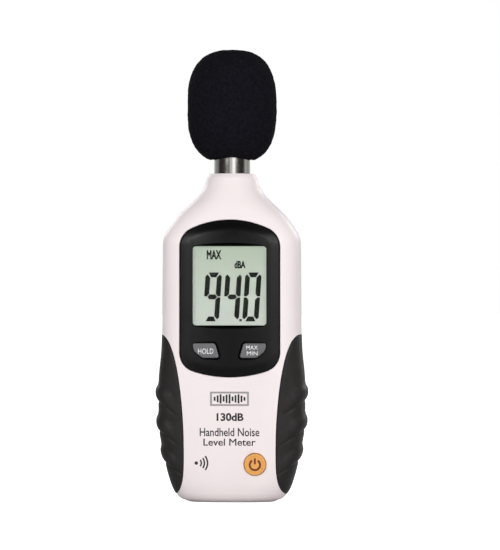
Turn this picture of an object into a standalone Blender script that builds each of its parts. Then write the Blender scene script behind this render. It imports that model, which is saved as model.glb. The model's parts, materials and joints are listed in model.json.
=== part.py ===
"""Handheld digital sound level meter, standing on its base.

Metres, +Z up. The display faces -Y, the battery door faces +Y, and the microphone neck points up.
The origin is the centre of the base; the case halves meet on the plane Y = 0.
Every piece is its own object, and the pieces of a moving group hang on an empty on that group's axis.
"""

import math

import bmesh
import bpy
from mathutils import Matrix, Vector

MM = 0.001
GAP = 0.3 * MM  # left between pieces that rest on each other

# ---------------------------------------------------------------- driving dimensions

# Case form: height, half width, half depth, squareness of the cross-section (2 is an ellipse).
CASE_STATIONS = (
    (0.0, 15.0, 9.4, 2.8),
    (1.2, 18.0, 11.8, 3.0),
    (3.4, 19.8, 13.2, 3.3),
    (7.0, 21.3, 14.0, 3.7),
    (14.0, 23.1, 14.3, 4.0),
    (28.0, 24.8, 14.3, 4.0),
    (44.0, 24.9, 14.3, 4.0),
    (58.0, 24.4, 14.3, 4.0),
    (88.0, 24.15, 14.3, 4.0),
    (92.2, 23.9, 14.2, 3.9),
    (95.8, 22.15, 13.85, 3.65),
    (100.0, 19.1, 13.1, 3.3),
    (104.3, 14.8, 11.9, 2.8),
    (107.8, 11.45, 10.5, 2.4),
    (111.3, 9.45, 9.3, 2.1),
    (113.6, 8.75, 8.75, 2.0),
    (115.0, 7.9, 7.9, 2.0),
)
# Cavity: height, side inset and depth inset from the case, squareness. It narrows behind the grips.
CAVITY_STATIONS = (
    (2.2, 4.4, 3.0, 2.8),
    (7.0, 4.3, 2.1, 3.0),
    (46.0, 4.2, 2.1, 3.0),
    (57.5, 3.0, 2.1, 3.8),
    (63.0, 2.1, 2.1, 4.0),
    (92.0, 2.1, 2.1, 3.9),
    (97.5, 2.1, 2.1, 3.5),
    (101.5, 2.2, 2.2, 3.0),
)
# Floor of the grip pockets: height, side inset and depth inset from the case.
POCKET_STATIONS = ((0.0, 1.2, 1.0), (8.0, 2.2, 1.6), (48.0, 2.2, 1.6), (61.0, 1.0, 0.8))
SECTION_SIDES = 32

# Side grips: their edge on the front face is two quarter superellipses that meet at the waist.
GRIP_WAIST_HEIGHT = 19.0 * MM
GRIP_RISE = 39.8 * MM
GRIP_DROP = 16.6 * MM
GRIP_EDGE_OUTER = 25.2 * MM
GRIP_EDGE_REACH = 9.2 * MM
GRIP_UPPER_SHAPE = (1.8, 0.42)
GRIP_LOWER_SHAPE = (4.0, 0.3)
GRIP_FRONT_SHARE, GRIP_REAR_SHARE = 1.0, 0.7
GRIP_PROUD = 0.3 * MM
GRIP_RIBS = ((39.2, 1.55), (28.7, 1.45), (19.3, 0.95))  # height and rise of each finger rib, mm
GRIP_RIB_HALF_WIDTH = 2.1 * MM

# Display bezel: an arched frame set into the front face.
BEZEL_HALF_WIDTH = 17.55 * MM
BEZEL_LOW, BEZEL_HIGH = 43.9 * MM, 98.7 * MM
BEZEL_TOP_RADIUS, BEZEL_TOP_CORNER = 32.0 * MM, 7.2 * MM
BEZEL_BOTTOM_RADIUS, BEZEL_BOTTOM_CORNER = 42.0 * MM, 6.9 * MM
BEZEL_PROUD = 0.8 * MM
BEZEL_BACK = -12.9 * MM
SEAT_FRONT, SEAT_BACK = -12.35 * MM, -11.2 * MM
SEAT_LEDGE = 2.0 * MM

WINDOW_HALF_WIDTH = 12.9 * MM
WINDOW_LOW, WINDOW_HIGH = 61.9 * MM, 89.5 * MM
WINDOW_CORNER = 1.1 * MM
LENS_MARGIN = 1.0 * MM
LENS_FRONT, LENS_BACK = -14.2 * MM, -13.1 * MM

GLASS_HALF_WIDTH = 14.6 * MM
GLASS_LOW, GLASS_HIGH = 60.4 * MM, 91.4 * MM
GLASS_FRONT, GLASS_BACK = -12.0 * MM, -9.9 * MM
HOLDER_HALF_WIDTH = 15.9 * MM
HOLDER_LOW, HOLDER_HIGH = 59.0 * MM, 92.8 * MM
HOLDER_FRONT = -10.6 * MM
HOLDER_WINDOW_HALF_WIDTH = 12.4 * MM
HOLDER_WINDOW = (63.6 * MM, 88.2 * MM)
ZEBRA_HALF_WIDTH = 13.3 * MM
ZEBRA_HALF_HEIGHT = 0.7 * MM
ZEBRA_HEIGHTS = {"lower": 61.9 * MM, "upper": 89.9 * MM}

BOARD_FRONT, BOARD_BACK = -5.6 * MM, -4.0 * MM
BOARD_OUTLINE_MM = (  # right half, from the bottom up
    (14.5, 9.2), (14.5, 13.0), (17.0, 20.0), (17.0, 91.0), (8.0, 95.2), (8.0, 101.0),
)
BOARD_SCREWS_MM = {"top": (0.0, 99.1), "left": (-14.4, 44.0), "right": (14.4, 44.0), "bottom": (-6.0, 12.4)}
BOARD_SCREW = {"head_radius": 1.9 * MM, "head_height": 1.2 * MM, "shank_radius": 1.0 * MM, "length": 6.2 * MM}
STANDOFF_RADIUS = 2.1 * MM

CASE_SCREWS_MM = {"upper_left": (12.0, 99.0), "upper_right": (-12.0, 99.0),
                  "lower_left": (13.0, 5.0), "lower_right": (-13.0, 5.0)}  # left and right seen from the back
CASE_SCREW = {
    "head_radius": 2.0 * MM, "head_height": 1.5 * MM, "shank_radius": 1.05 * MM, "length": 12.0 * MM,
}
SCREW_SEAT = 2.2 * MM
WELL_RADIUS = 2.3 * MM
REAR_BOSS_RADIUS = 3.2 * MM
FRONT_BOSS_RADIUS = 2.7 * MM

KEY_FACE = -15.45 * MM
KEY_CORNERS_MM = (  # right-hand key: x, height, corner radius
    (3.5, 50.6, 0.7), (9.4, 50.6, 2.6), (12.4, 52.9, 2.6), (12.9, 55.7, 0.7), (5.0, 55.7, 1.2),
)
KEY_CLEARANCE = 0.3 * MM
KEY_FLANGE = 0.9 * MM
FLANGE_THICKNESS = 0.8 * MM
STEM_RADIUS = 1.6 * MM
STEM_END = -10.3 * MM
POWER_X, POWER_HEIGHT = 8.9 * MM, 13.5 * MM
POWER_RADIUS = 3.75 * MM
POWER_FACE = -14.95 * MM
POWER_FLANGE_FRONT = -12.0 * MM
SWITCHES_MM = {"hold": (-8.3, 53.2), "max_min": (8.3, 53.2), "power": (8.9, 13.5)}
SWITCH_HALF_SIDE = 3.0 * MM
SWITCH_FRONT = -9.1 * MM
SWITCH_BORE_RADIUS, SWITCH_BORE_END = 2.05 * MM, -7.3 * MM
PLUNGER_RADIUS = 1.75 * MM
PLUNGER_FRONT, PLUNGER_BACK = -10.0 * MM, -8.0 * MM

NECK_RADIUS = 6.35 * MM  # a half-inch microphone barrel
NECK_BORE = 5.6 * MM
NECK_LOW, NECK_HIGH = 102.6 * MM, 139.0 * MM
NECK_FLANGE_RADIUS = 7.7 * MM
NECK_FLANGE = (104.3 * MM, 105.7 * MM)
GRILLE_TOP = 141.0 * MM
CAPSULE_RADIUS = 3.05 * MM
CAPSULE = (132.0 * MM, 137.0 * MM)

WINDSCREEN_RADIUS = 15.6 * MM
WINDSCREEN_LOW, WINDSCREEN_WIDEST, WINDSCREEN_TOP = 120.0 * MM, 139.0 * MM, 158.6 * MM
WINDSCREEN_UPPER_SHAPE, WINDSCREEN_LOWER_SHAPE = 2.5, 3.0
WINDSCREEN_SOCKET = (NECK_RADIUS + GAP, GRILLE_TOP + 0.4 * MM)

CELL_RADIUS, CELL_LENGTH = 5.2 * MM, 44.5 * MM  # AAA
CELL_SPACING = 10.9 * MM
CELL_DEPTH = 6.9 * MM
CELL_NUB_RADIUS, CELL_NUB = 1.9 * MM, 0.8 * MM
TRAY_HALF_WIDTH = 16.6 * MM
TRAY_LOW, TRAY_HIGH = 9.2 * MM, 60.0 * MM
TRAY_WALL = 1.7 * MM
TRAY_FLOOR = (0.45 * MM, 1.35 * MM)
CONTACT_THICKNESS = 0.4 * MM

DOOR_HALF_WIDTH = 16.9 * MM
DOOR_LOW, DOOR_HIGH = 8.3 * MM, 60.9 * MM
DOOR_THICKNESS = 1.8 * MM
DOOR_HINGE = Vector((0.0, 14.25 * MM, 8.15 * MM))
DOOR_TAB_X = 5.45 * MM
LATCH_HALF_WIDTH = 4.5 * MM
LATCH_LENGTH = 8.0 * MM
LATCH_SLIT = 0.8 * MM

TRIMMER_X, TRIMMER_HEIGHT = 5.45 * MM, 35.0 * MM


# ---------------------------------------------------------------- scene and materials

def clear_scene():
    for obj in list(bpy.data.objects):
        bpy.data.objects.remove(obj)


def new_collection(name, is_helper=False):
    collection = bpy.data.collections.new(name)
    collection.hide_render = is_helper
    bpy.context.scene.collection.children.link(collection)
    return collection


def plastic(name, colour, roughness, metallic=0.0):
    material = bpy.data.materials.new(name)
    material.use_nodes = True
    shader = material.node_tree.nodes["Principled BSDF"]
    shader.inputs["Base Color"].default_value = (*colour, 1.0)
    shader.inputs["Roughness"].default_value = roughness
    shader.inputs["Metallic"].default_value = metallic
    material.diffuse_color = (*colour, 1.0)
    return material


clear_scene()
METER = new_collection("Sound level meter")
CUTTERS = new_collection("Cutters", is_helper=True)

CASE_WHITE = plastic("case white ABS", (0.86, 0.81, 0.81), 0.45)
BEZEL_BLACK = plastic("bezel black plastic", (0.018, 0.018, 0.020), 0.30)
GRIP_RUBBER = plastic("grip rubber", (0.034, 0.031, 0.030), 0.60)
KEY_GREY = plastic("key grey", (0.22, 0.22, 0.24), 0.45)
KEY_AMBER = plastic("key amber", (0.78, 0.38, 0.10), 0.40)
CLEAR = plastic("clear acrylic", (0.85, 0.90, 0.88), 0.05)
DISPLAY_GREEN = plastic("display grey green", (0.50, 0.57, 0.47), 0.25)
HOLDER_WHITE = plastic("holder plastic", (0.75, 0.75, 0.72), 0.50)
RUBBER_BLACK = plastic("black rubber", (0.02, 0.02, 0.02), 0.70)
ZEBRA_PINK = plastic("connector silicone", (0.45, 0.25, 0.25), 0.60)
BOARD_GREEN = plastic("circuit board", (0.02, 0.16, 0.07), 0.40)
CHIP_BLACK = plastic("component black", (0.015, 0.015, 0.015), 0.50)
TRIMMER_BLUE = plastic("trimmer blue", (0.03, 0.12, 0.45), 0.40)
FOAM_BLACK = plastic("acoustic foam", (0.009, 0.009, 0.011), 0.95)
STEEL = plastic("plated steel", (0.62, 0.62, 0.60), 0.30, 1.0)
NECK_STEEL = plastic("polished stainless steel", (0.66, 0.65, 0.62), 0.16, 1.0)
CELL_WRAP = plastic("cell wrap", (0.05, 0.13, 0.30), 0.35)
WIRE_RED = plastic("red wire", (0.55, 0.02, 0.02), 0.45)
WIRE_BLACK = plastic("black wire", (0.02, 0.02, 0.02), 0.45)


# ---------------------------------------------------------------- building blocks

def new_object(name, mesh, material=None):
    """A part if it has a material, otherwise a cutter or another helper."""
    obj = bpy.data.objects.new(name, mesh)
    if material:
        mesh.materials.append(material)
        METER.objects.link(obj)
    else:
        obj.hide_render = True
        obj.display_type = "WIRE"
        CUTTERS.objects.link(obj)
    return obj


def from_bmesh(name, bm, material=None):
    bmesh.ops.recalc_face_normals(bm, faces=bm.faces)
    mesh = bpy.data.meshes.new(name)
    bm.to_mesh(mesh)
    bm.free()
    return new_object(name, mesh, material)


def shade_round(obj, angle=35.0):
    obj.data.shade_smooth()
    obj.data.set_sharp_from_angle(angle=math.radians(angle))


def block(name, x, y, z, material=None):
    """A box from its ranges on the three axes."""
    size = Vector((x[1] - x[0], y[1] - y[0], z[1] - z[0]))
    centre = Vector((x[0] + x[1], y[0] + y[1], z[0] + z[1])) / 2
    bm = bmesh.new()
    bmesh.ops.create_cube(bm, size=1.0, matrix=Matrix.Translation(centre) @ Matrix.Diagonal((*size, 1.0)))
    return from_bmesh(name, bm, material)


def rod(name, radius, start, end, material=None, sides=24):
    """A cylinder between two points."""
    start, end = Vector(start), Vector(end)
    along = end - start
    turn = along.to_track_quat("Z", "Y").to_matrix().to_4x4()
    bm = bmesh.new()
    bmesh.ops.create_cone(
        bm, cap_ends=True, segments=sides, radius1=radius, radius2=radius, depth=along.length,
        matrix=Matrix.Translation((start + end) / 2) @ turn,
    )
    obj = from_bmesh(name, bm, material)
    shade_round(obj)
    return obj


def turned(name, profile, material=None, steps=24, closed=False, location=(0, 0, 0), axis="Z"):
    """A solid of revolution. The profile of (radius, height) runs down its outer side, top to bottom."""
    bm = bmesh.new()
    points = [bm.verts.new((radius, 0.0, height)) for radius, height in profile]
    for first, second in zip(points, points[1:]):
        bm.edges.new((first, second))
    if closed:
        bm.edges.new((points[-1], points[0]))
    mesh = bpy.data.meshes.new(name)
    bm.to_mesh(mesh)
    bm.free()
    obj = new_object(name, mesh, material)
    obj.location = location
    if axis == "-Y":
        obj.rotation_euler.x = math.radians(90)
    elif axis == "+Y":
        obj.rotation_euler.x = math.radians(-90)
    screw = obj.modifiers.new("Turn", "SCREW")
    screw.steps = screw.render_steps = steps
    screw.use_merge_vertices = True
    screw.merge_threshold = 0.00001
    screw.use_smooth_shade = True
    return obj


def as_mesh(curve_object, material=None):
    """Replaces a curve object by a closed mesh object in the same place."""
    bpy.context.view_layer.update()
    graph = bpy.context.evaluated_depsgraph_get()
    mesh = bpy.data.meshes.new_from_object(curve_object.evaluated_get(graph))
    mesh.transform(curve_object.matrix_world)
    mesh.materials.clear()
    name = curve_object.name
    bpy.data.objects.remove(curve_object)
    bm = bmesh.new()
    bm.from_mesh(mesh)
    bmesh.ops.remove_doubles(bm, verts=bm.verts, dist=0.000002)
    return from_bmesh(name, bm, material)


def plate(name, outlines, y, material=None):
    """Outlines of (x, height) extruded from y[0] to y[1]. An outline inside another is a hole."""
    curve = bpy.data.curves.new(name, "CURVE")
    curve.dimensions = "2D"
    curve.fill_mode = "BOTH"
    curve.extrude = (y[1] - y[0]) / 2
    for outline in outlines:
        spline = curve.splines.new("POLY")
        spline.points.add(len(outline) - 1)
        for point, (x, height) in zip(spline.points, outline):
            point.co = (x, height, 0.0, 1.0)
        spline.use_cyclic_u = True
    obj = bpy.data.objects.new(name, curve)
    obj.rotation_euler.x = math.radians(90)
    obj.location.y = (y[0] + y[1]) / 2
    CUTTERS.objects.link(obj)
    return as_mesh(obj, material)


def smooth_route(points, per_span=4):
    """Points along a Catmull-Rom curve through the route's own points."""
    points = [Vector(p) for p in points]
    ends = [points[0] * 2 - points[1], *points, points[-1] * 2 - points[-2]]
    route = []
    for a, b, c, d in zip(ends, ends[1:], ends[2:], ends[3:]):
        for i in range(per_span):
            t = i / per_span
            route.append(0.5 * (2 * b + (c - a) * t + (2 * a - 5 * b + 4 * c - d) * t**2
                                + (3 * b - a - 3 * c + d) * t**3))
    return route + [points[-1]]


def wire(name, route, radius, material, resolution=1):
    """A round wire along the points of a route."""
    curve = bpy.data.curves.new(name, "CURVE")
    curve.dimensions = "3D"
    curve.bevel_depth = radius
    curve.bevel_resolution = resolution
    curve.use_fill_caps = True
    spline = curve.splines.new("POLY")
    spline.points.add(len(route) - 1)
    for point, position in zip(spline.points, route):
        point.co = (*position, 1.0)
    obj = bpy.data.objects.new(name, curve)
    METER.objects.link(obj)
    curve.materials.append(material)
    return obj


def boolean(target, other, operation):
    modifier = target.modifiers.new(f"{operation.lower()} {other.name}", "BOOLEAN")
    modifier.operation = operation
    modifier.object = other
    modifier.solver = "EXACT"
    return target


def cut(target, *cutters):
    for cutter in cutters:
        boolean(target, cutter, "DIFFERENCE")
    return target


def join(target, *additions):
    for addition in additions:
        boolean(target, addition, "UNION")
    return target


def keep_inside(target, other):
    return boolean(target, other, "INTERSECT")


def hang_on(empty_name, pivot, *pieces):
    """Parents a group's pieces to an empty on their joint. A piece drawn in place gets its origin there."""
    pivot = Vector(pivot)
    empty = bpy.data.objects.new(empty_name, None)
    empty.location = pivot
    empty.empty_display_size = 0.005
    empty.parent = ROOT
    METER.objects.link(empty)
    for piece in pieces:
        if piece.location.length > 0:
            piece.location -= pivot
        else:
            piece.data.transform(Matrix.Translation(-pivot))
        piece.parent = empty


# ---------------------------------------------------------------- outlines

def arc(centre, radius, start, end, steps):
    """Points (x, height) on an arc, angles in degrees anticlockwise from +X, both ends included."""
    angles = [math.radians(start + (end - start) * i / steps) for i in range(steps + 1)]
    return [(centre[0] + radius * math.cos(a), centre[1] + radius * math.sin(a)) for a in angles]


def rounded_polygon(corners, steps=3):
    """An anticlockwise outline whose corners (x, height, radius) are arcs."""
    outline = []
    for i, (x, height, radius) in enumerate(corners):
        here = Vector((x, height))
        before = (Vector(corners[i - 1][:2]) - here).normalized()
        after = (Vector(corners[(i + 1) % len(corners)][:2]) - here).normalized()
        half = before.angle(after) / 2
        centre = here + (before + after).normalized() * radius / math.sin(half)
        start = here + before * radius / math.tan(half) - centre
        for k in range(steps + 1):
            angle = math.atan2(start.y, start.x) + (math.pi - 2 * half) * k / steps
            outline.append((centre.x + radius * math.cos(angle), centre.y + radius * math.sin(angle)))
    return outline


def grown(outline, distance):
    """A convex anticlockwise outline moved outwards by a distance, or inwards if it is negative."""
    moved = []
    for i, point in enumerate(outline):
        here = Vector(point)
        before = (here - Vector(outline[i - 1])).normalized()
        after = (Vector(outline[(i + 1) % len(outline)]) - here).normalized()
        outward = Vector((before.y + after.y, -before.x - after.x)).normalized()
        spread = distance / max(0.5, outward.dot(Vector((before.y, -before.x))))
        moved.append(tuple(here + outward * spread))
    return moved


def rectangle(half_width, low, high, corner=0.0):
    if not corner:
        return [(-half_width, low), (half_width, low), (half_width, high), (-half_width, high)]
    return rounded_polygon([
        (-half_width, low, corner), (half_width, low, corner),
        (half_width, high, corner), (-half_width, high, corner),
    ])


def bezel_outline(offset=0.0):
    """The bezel: a large arc at the top and bottom, joined to straight sides by smaller ones."""
    half_width = BEZEL_HALF_WIDTH + offset
    top, top_corner = BEZEL_TOP_RADIUS + offset, BEZEL_TOP_CORNER + offset
    bottom, bottom_corner = BEZEL_BOTTOM_RADIUS + offset, BEZEL_BOTTOM_CORNER + offset
    top_centre = BEZEL_HIGH + offset - top
    bottom_centre = BEZEL_LOW - offset + bottom
    top_x, bottom_x = half_width - top_corner, half_width - bottom_corner
    top_turn = math.degrees(math.acos(top_x / (top - top_corner)))
    bottom_turn = math.degrees(math.acos(bottom_x / (bottom - bottom_corner)))
    top_height = top_centre + math.sqrt((top - top_corner) ** 2 - top_x**2)
    bottom_height = bottom_centre - math.sqrt((bottom - bottom_corner) ** 2 - bottom_x**2)
    outline = arc((top_x, top_height), top_corner, 0, top_turn, 5)
    outline += arc((0, top_centre), top, top_turn, 180 - top_turn, 8)[1:-1]
    outline += arc((-top_x, top_height), top_corner, 180 - top_turn, 180, 5)
    outline += arc((-bottom_x, bottom_height), bottom_corner, 180, 180 + bottom_turn, 5)
    outline += arc((0, bottom_centre), bottom, 180 + bottom_turn, 360 - bottom_turn, 8)[1:-1]
    outline += arc((bottom_x, bottom_height), bottom_corner, 360 - bottom_turn, 360, 5)
    return outline


def key_outline(side):
    """The outline of a key below the display; side is 1 on the right and -1 on the left."""
    outline = rounded_polygon([(x * MM, height * MM, radius * MM) for x, height, radius in KEY_CORNERS_MM])
    if side < 0:
        outline = [(-x, height) for x, height in reversed(outline)]
    return outline


def grip_outline(share, spare=0.0, steps=7):
    """The right-hand grip's edge and a far side at 30 mm. share scales how far the edge reaches inwards."""
    outline = []
    for i in range(-steps, steps + 1):
        t = math.sin(math.radians(90.0 * abs(i) / steps))
        power, root = GRIP_UPPER_SHAPE if i > 0 else GRIP_LOWER_SHAPE
        reach = GRIP_EDGE_REACH * share * max(0.0, 1 - t**power) ** root
        height = GRIP_WAIST_HEIGHT + (GRIP_RISE + spare if i > 0 else -GRIP_DROP - spare) * t
        outline.append((GRIP_EDGE_OUTER - reach - spare, height))
    far = 30.0 * MM
    return [*outline, (far, outline[-1][1]), (far, outline[0][1])]


# ---------------------------------------------------------------- lofted case form

def interpolate(stations, column, height):
    """A column of a table of stations at a height, on a cubic that never overshoots between them."""
    heights = [row[0] * MM for row in stations]
    values = [row[column] for row in stations]
    height = min(max(height, heights[0]), heights[-1])
    slopes = [(v1 - v0) / (h1 - h0) for h0, h1, v0, v1 in zip(heights, heights[1:], values, values[1:])]
    inner = [0.0 if s0 * s1 <= 0 else 2 * s0 * s1 / (s0 + s1) for s0, s1 in zip(slopes, slopes[1:])]
    tangents = [slopes[0], *inner, slopes[-1]]
    i = max(k for k in range(len(heights) - 1) if heights[k] <= height or k == 0)
    span = heights[i + 1] - heights[i]
    t = (height - heights[i]) / span
    return (
        values[i] * (1 + 2 * t) * (1 - t) ** 2 + tangents[i] * span * t * (1 - t) ** 2
        + values[i + 1] * t**2 * (3 - 2 * t) + tangents[i + 1] * span * t**2 * (t - 1)
    )


def levels(stations):
    """The stations' heights, and the points halfway between those less than 16 mm apart."""
    heights = [row[0] * MM for row in stations]
    middles = [(low + high) / 2 for low, high in zip(heights, heights[1:]) if high - low < 16 * MM]
    return sorted(heights + middles)


def section(half_width, half_depth, squareness, height):
    """One horizontal superellipse."""
    ring = []
    for i in range(SECTION_SIDES):
        angle = 2 * math.pi * i / SECTION_SIDES
        across, along = math.cos(angle), math.sin(angle)
        x = math.copysign(abs(across) ** (2 / squareness), across) * half_width
        y = math.copysign(abs(along) ** (2 / squareness), along) * half_depth
        ring.append(Vector((x, y, height)))
    return ring


def case_size(height):
    return [interpolate(CASE_STATIONS, column, height) for column in (1, 2, 3)]


def case_section(height, side_inset=0.0, depth_inset=0.0, squareness=None):
    half_width, half_depth, own_squareness = case_size(height)
    across, along = half_width * MM - side_inset, half_depth * MM - depth_inset
    return section(across, along, squareness or own_squareness, height)


def case_surface(x, height):
    """How far the case's outer surface is from the parting plane, at (x, height)."""
    half_width, half_depth, squareness = case_size(height)
    return half_depth * MM * (1 - (abs(x) / (half_width * MM)) ** squareness) ** (1 / squareness)


def loft(name, rings, material=None):
    """A closed skin through rings of equal length, capped at both ends."""
    bm = bmesh.new()
    loops = [[bm.verts.new(point) for point in ring] for ring in rings]
    for lower, upper in zip(loops, loops[1:]):
        for i in range(len(lower)):
            j = (i + 1) % len(lower)
            bm.faces.new((lower[i], lower[j], upper[j], upper[i]))
    bm.faces.new(loops[0])
    bm.faces.new(loops[-1])
    return from_bmesh(name, bm, material)


def case_loft(name, inset=0.0, material=None):
    """The case's outer form, moved inwards all round by the inset."""
    return loft(name, [case_section(height, inset, inset) for height in levels(CASE_STATIONS)], material)


def cavity_loft(name):
    rings = []
    for height in levels(CAVITY_STATIONS):
        side, depth, squareness = (interpolate(CAVITY_STATIONS, column, height) for column in (1, 2, 3))
        rings.append(case_section(height, side * MM, depth * MM, squareness))
    return loft(name, rings)


def pocket_floor_loft(name, lift=0.0):
    """The surface that the grips lie on, raised by lift. It stands past both ends of the pockets."""
    rings = []
    for height in levels(POCKET_STATIONS):
        side, depth = (interpolate(POCKET_STATIONS, column, height) for column in (1, 2))
        rings.append(case_section(height, side * MM - lift, depth * MM - lift))
    return loft(name, rings)


def rib_rise(height):
    """How far the finger ribs lift the grip's flank at a height."""
    return sum(
        rise * MM * math.exp(-(((height - centre * MM) / GRIP_RIB_HALF_WIDTH) ** 2))
        for centre, rise in GRIP_RIBS
    )


def grip_levels():
    """Closer together over the finger ribs."""
    heights = {1.5 * MM, 3.4 * MM, 5.0 * MM, 8.0 * MM, 13.0 * MM, 46.0 * MM, 52.0 * MM, 59.0 * MM}
    steps = (-1.9, -1.1, -0.5, 0.0, 0.5, 1.1, 1.9)
    for centre, _ in GRIP_RIBS:
        heights |= {centre * MM + step * GRIP_RIB_HALF_WIDTH for step in steps}
    return sorted(heights)


# ---------------------------------------------------------------- cutters that several pieces share

FAR = 30.0 * MM
PARTING_HALF_GAP = GAP / 2


def cutter_at(name, radius, x, height, y, sides=14):
    """A round cutter along Y."""
    return rod(name, radius, (x, y[0], height), (x, y[1], height), sides=sides)


def grip_wedge(name, side, spare=0.0, material=None):
    """The volume that holds one grip. Its edge reaches further inwards on the front than on the rear."""
    middle = (GRIP_FRONT_SHARE + GRIP_REAR_SHARE) / 2
    slope = (GRIP_REAR_SHARE - GRIP_FRONT_SHARE) / (2 * 14.0 * MM)
    reach = 17.0 * MM
    rings = []
    for y in (-reach, reach):
        ring = [Vector((side * x, y, height)) for x, height in grip_outline(middle + slope * y, spare)]
        rings.append(ring)
    return loft(name, rings, material)


def make_shared_cutters():
    shared = {
        "front_half": block("cut_front_half", (-FAR, FAR), (-FAR, -PARTING_HALF_GAP), (-FAR, 0.2)),
        "rear_half": block("cut_rear_half", (-FAR, FAR), (PARTING_HALF_GAP, FAR), (-FAR, 0.2)),
        "cavity": cavity_loft("cut_cavity"),
        "neck_bore": rod("cut_neck_bore", NECK_RADIUS + GAP, (0, 0, 0.1005), (0, 0, 0.117), sides=24),
        "neck_groove": rod(
            "cut_neck_groove", NECK_FLANGE_RADIUS + GAP,
            (0, 0, NECK_FLANGE[0] - GAP), (0, 0, NECK_FLANGE[1] + GAP), sides=24,
        ),
        "pocket_floor": pocket_floor_loft("pocket_floor"),
        "inside_wall": case_loft("inside_wall", inset=0.8 * MM),
    }
    for side, name in ((-1, "left"), (1, "right")):
        pocket = grip_wedge(f"cut_{name}_grip_pocket", side, spare=GAP)
        shared[f"{name}_pocket"] = cut(pocket, shared["pocket_floor"])
    return shared


# ---------------------------------------------------------------- case

def make_front_shell(shared):
    shell = case_loft("front_shell", material=CASE_WHITE)
    keep_inside(shell, shared["front_half"])
    cut(shell, shared["cavity"])
    join(shell, plate("bezel_seat", [bezel_outline(1.5 * MM)], (SEAT_FRONT, SEAT_BACK)))
    for name, (x, height) in CASE_SCREWS_MM.items():
        x, height = x * MM, height * MM
        post = cutter_at(f"front_boss_{name}", FRONT_BOSS_RADIUS, x, height, (-FAR, -PARTING_HALF_GAP))
        join(shell, keep_inside(post, shared["inside_wall"]))
    for name, (x, height) in BOARD_SCREWS_MM.items():
        x, height = x * MM, height * MM
        post = cutter_at(f"standoff_{name}", STANDOFF_RADIUS, x, height, (-FAR, BOARD_FRONT - GAP), 12)
        join(shell, keep_inside(post, shared["inside_wall"]))
    hole, pocket = POWER_RADIUS + GAP, POWER_RADIUS + 1.4 * MM
    cut(
        shell,
        plate("cut_bezel_recess", [bezel_outline(0.2 * MM)], (-20.0 * MM, BEZEL_BACK + GAP)),
        plate("cut_bezel_opening", [bezel_outline(-SEAT_LEDGE)], (-20.0 * MM, -8.5 * MM)),
        cutter_at("cut_power_hole", hole, POWER_X, POWER_HEIGHT, (-20.0 * MM, -10.0 * MM), 24),
        cutter_at("cut_power_pocket", pocket, POWER_X, POWER_HEIGHT, (-12.3 * MM, -8.0 * MM), 24),
    )
    for name, (x, height) in CASE_SCREWS_MM.items():
        depth, radius = SCREW_SEAT - CASE_SCREW["length"] - 0.4 * MM, CASE_SCREW["shank_radius"] + GAP
        cut(shell, cutter_at(f"cut_pilot_{name}", radius, x * MM, height * MM, (depth, 1.0 * MM), 10))
    for name, (x, height) in BOARD_SCREWS_MM.items():
        depth, radius = BOARD_BACK - BOARD_SCREW["length"] - 0.4 * MM, BOARD_SCREW["shank_radius"] + GAP
        cut(shell, cutter_at(f"cut_board_pilot_{name}", radius, x * MM, height * MM, (depth, 0), 10))
    cut(shell, *[shared[key] for key in ("neck_bore", "neck_groove", "left_pocket", "right_pocket")])
    shade_round(shell)


def make_rear_shell(shared):
    shell = case_loft("rear_shell", material=CASE_WHITE)
    keep_inside(shell, shared["rear_half"])
    cut(shell, shared["cavity"])
    for name, (x, height) in CASE_SCREWS_MM.items():
        x, height = x * MM, height * MM
        post = cutter_at(f"rear_boss_{name}", REAR_BOSS_RADIUS, x, height, (PARTING_HALF_GAP, FAR))
        join(shell, keep_inside(post, shared["inside_wall"]))
    outer, low, high = TRAY_HALF_WIDTH + 1.5 * MM, TRAY_LOW - TRAY_WALL, TRAY_HIGH + TRAY_WALL
    tray = block("battery_tray", (-outer, outer), (TRAY_FLOOR[0], FAR), (low, high))
    join(shell, keep_inside(tray, shared["inside_wall"]))
    for side in (-1, 1):
        x = (side * DOOR_TAB_X - 2.2 * MM, side * DOOR_TAB_X + 2.2 * MM)
        cut(shell, block(f"cut_tab_slot_{side}", x, (10.0 * MM, 12.5 * MM), (6.6 * MM, 9.6 * MM)))
    inner = (-TRAY_HALF_WIDTH, TRAY_HALF_WIDTH)
    cut(shell, block("cut_tray", inner, (TRAY_FLOOR[1], FAR), (TRAY_LOW, TRAY_HIGH)))
    recess = block(
        "cut_door_recess", (-DOOR_HALF_WIDTH - GAP, DOOR_HALF_WIDTH + GAP), (5.0 * MM, FAR),
        (DOOR_LOW - GAP, DOOR_HIGH + GAP),
    )
    cut(shell, cut(recess, case_loft("door_recess_floor", inset=DOOR_THICKNESS + GAP)))
    for name, (x, height) in CASE_SCREWS_MM.items():
        x, height = x * MM, height * MM
        clearance = CASE_SCREW["shank_radius"] + GAP
        cut(
            shell,
            cutter_at(f"cut_well_{name}", WELL_RADIUS, x, height, (SCREW_SEAT, FAR)),
            cutter_at(f"cut_clearance_{name}", clearance, x, height, (-1.0 * MM, SCREW_SEAT + 1.0 * MM), 10),
        )
    for name, side, z in (("top", -1, (58.9, 60.05)), ("bottom", 1, (9.15, 10.3))):
        x = (side * CELL_SPACING - 1.6 * MM, side * CELL_SPACING + 1.6 * MM)
        cut(shell, block(f"cut_tail_notch_{name}", x, (-1.0 * MM, 2.0 * MM), (z[0] * MM, z[1] * MM)))
    cut(
        shell,
        cutter_at("cut_trimmer_hole", 1.4 * MM, TRIMMER_X, TRIMMER_HEIGHT, (-1.0 * MM, 3.0 * MM), 12),
        shared["neck_bore"], shared["neck_groove"], shared["left_pocket"], shared["right_pocket"],
    )
    shade_round(shell)


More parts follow.
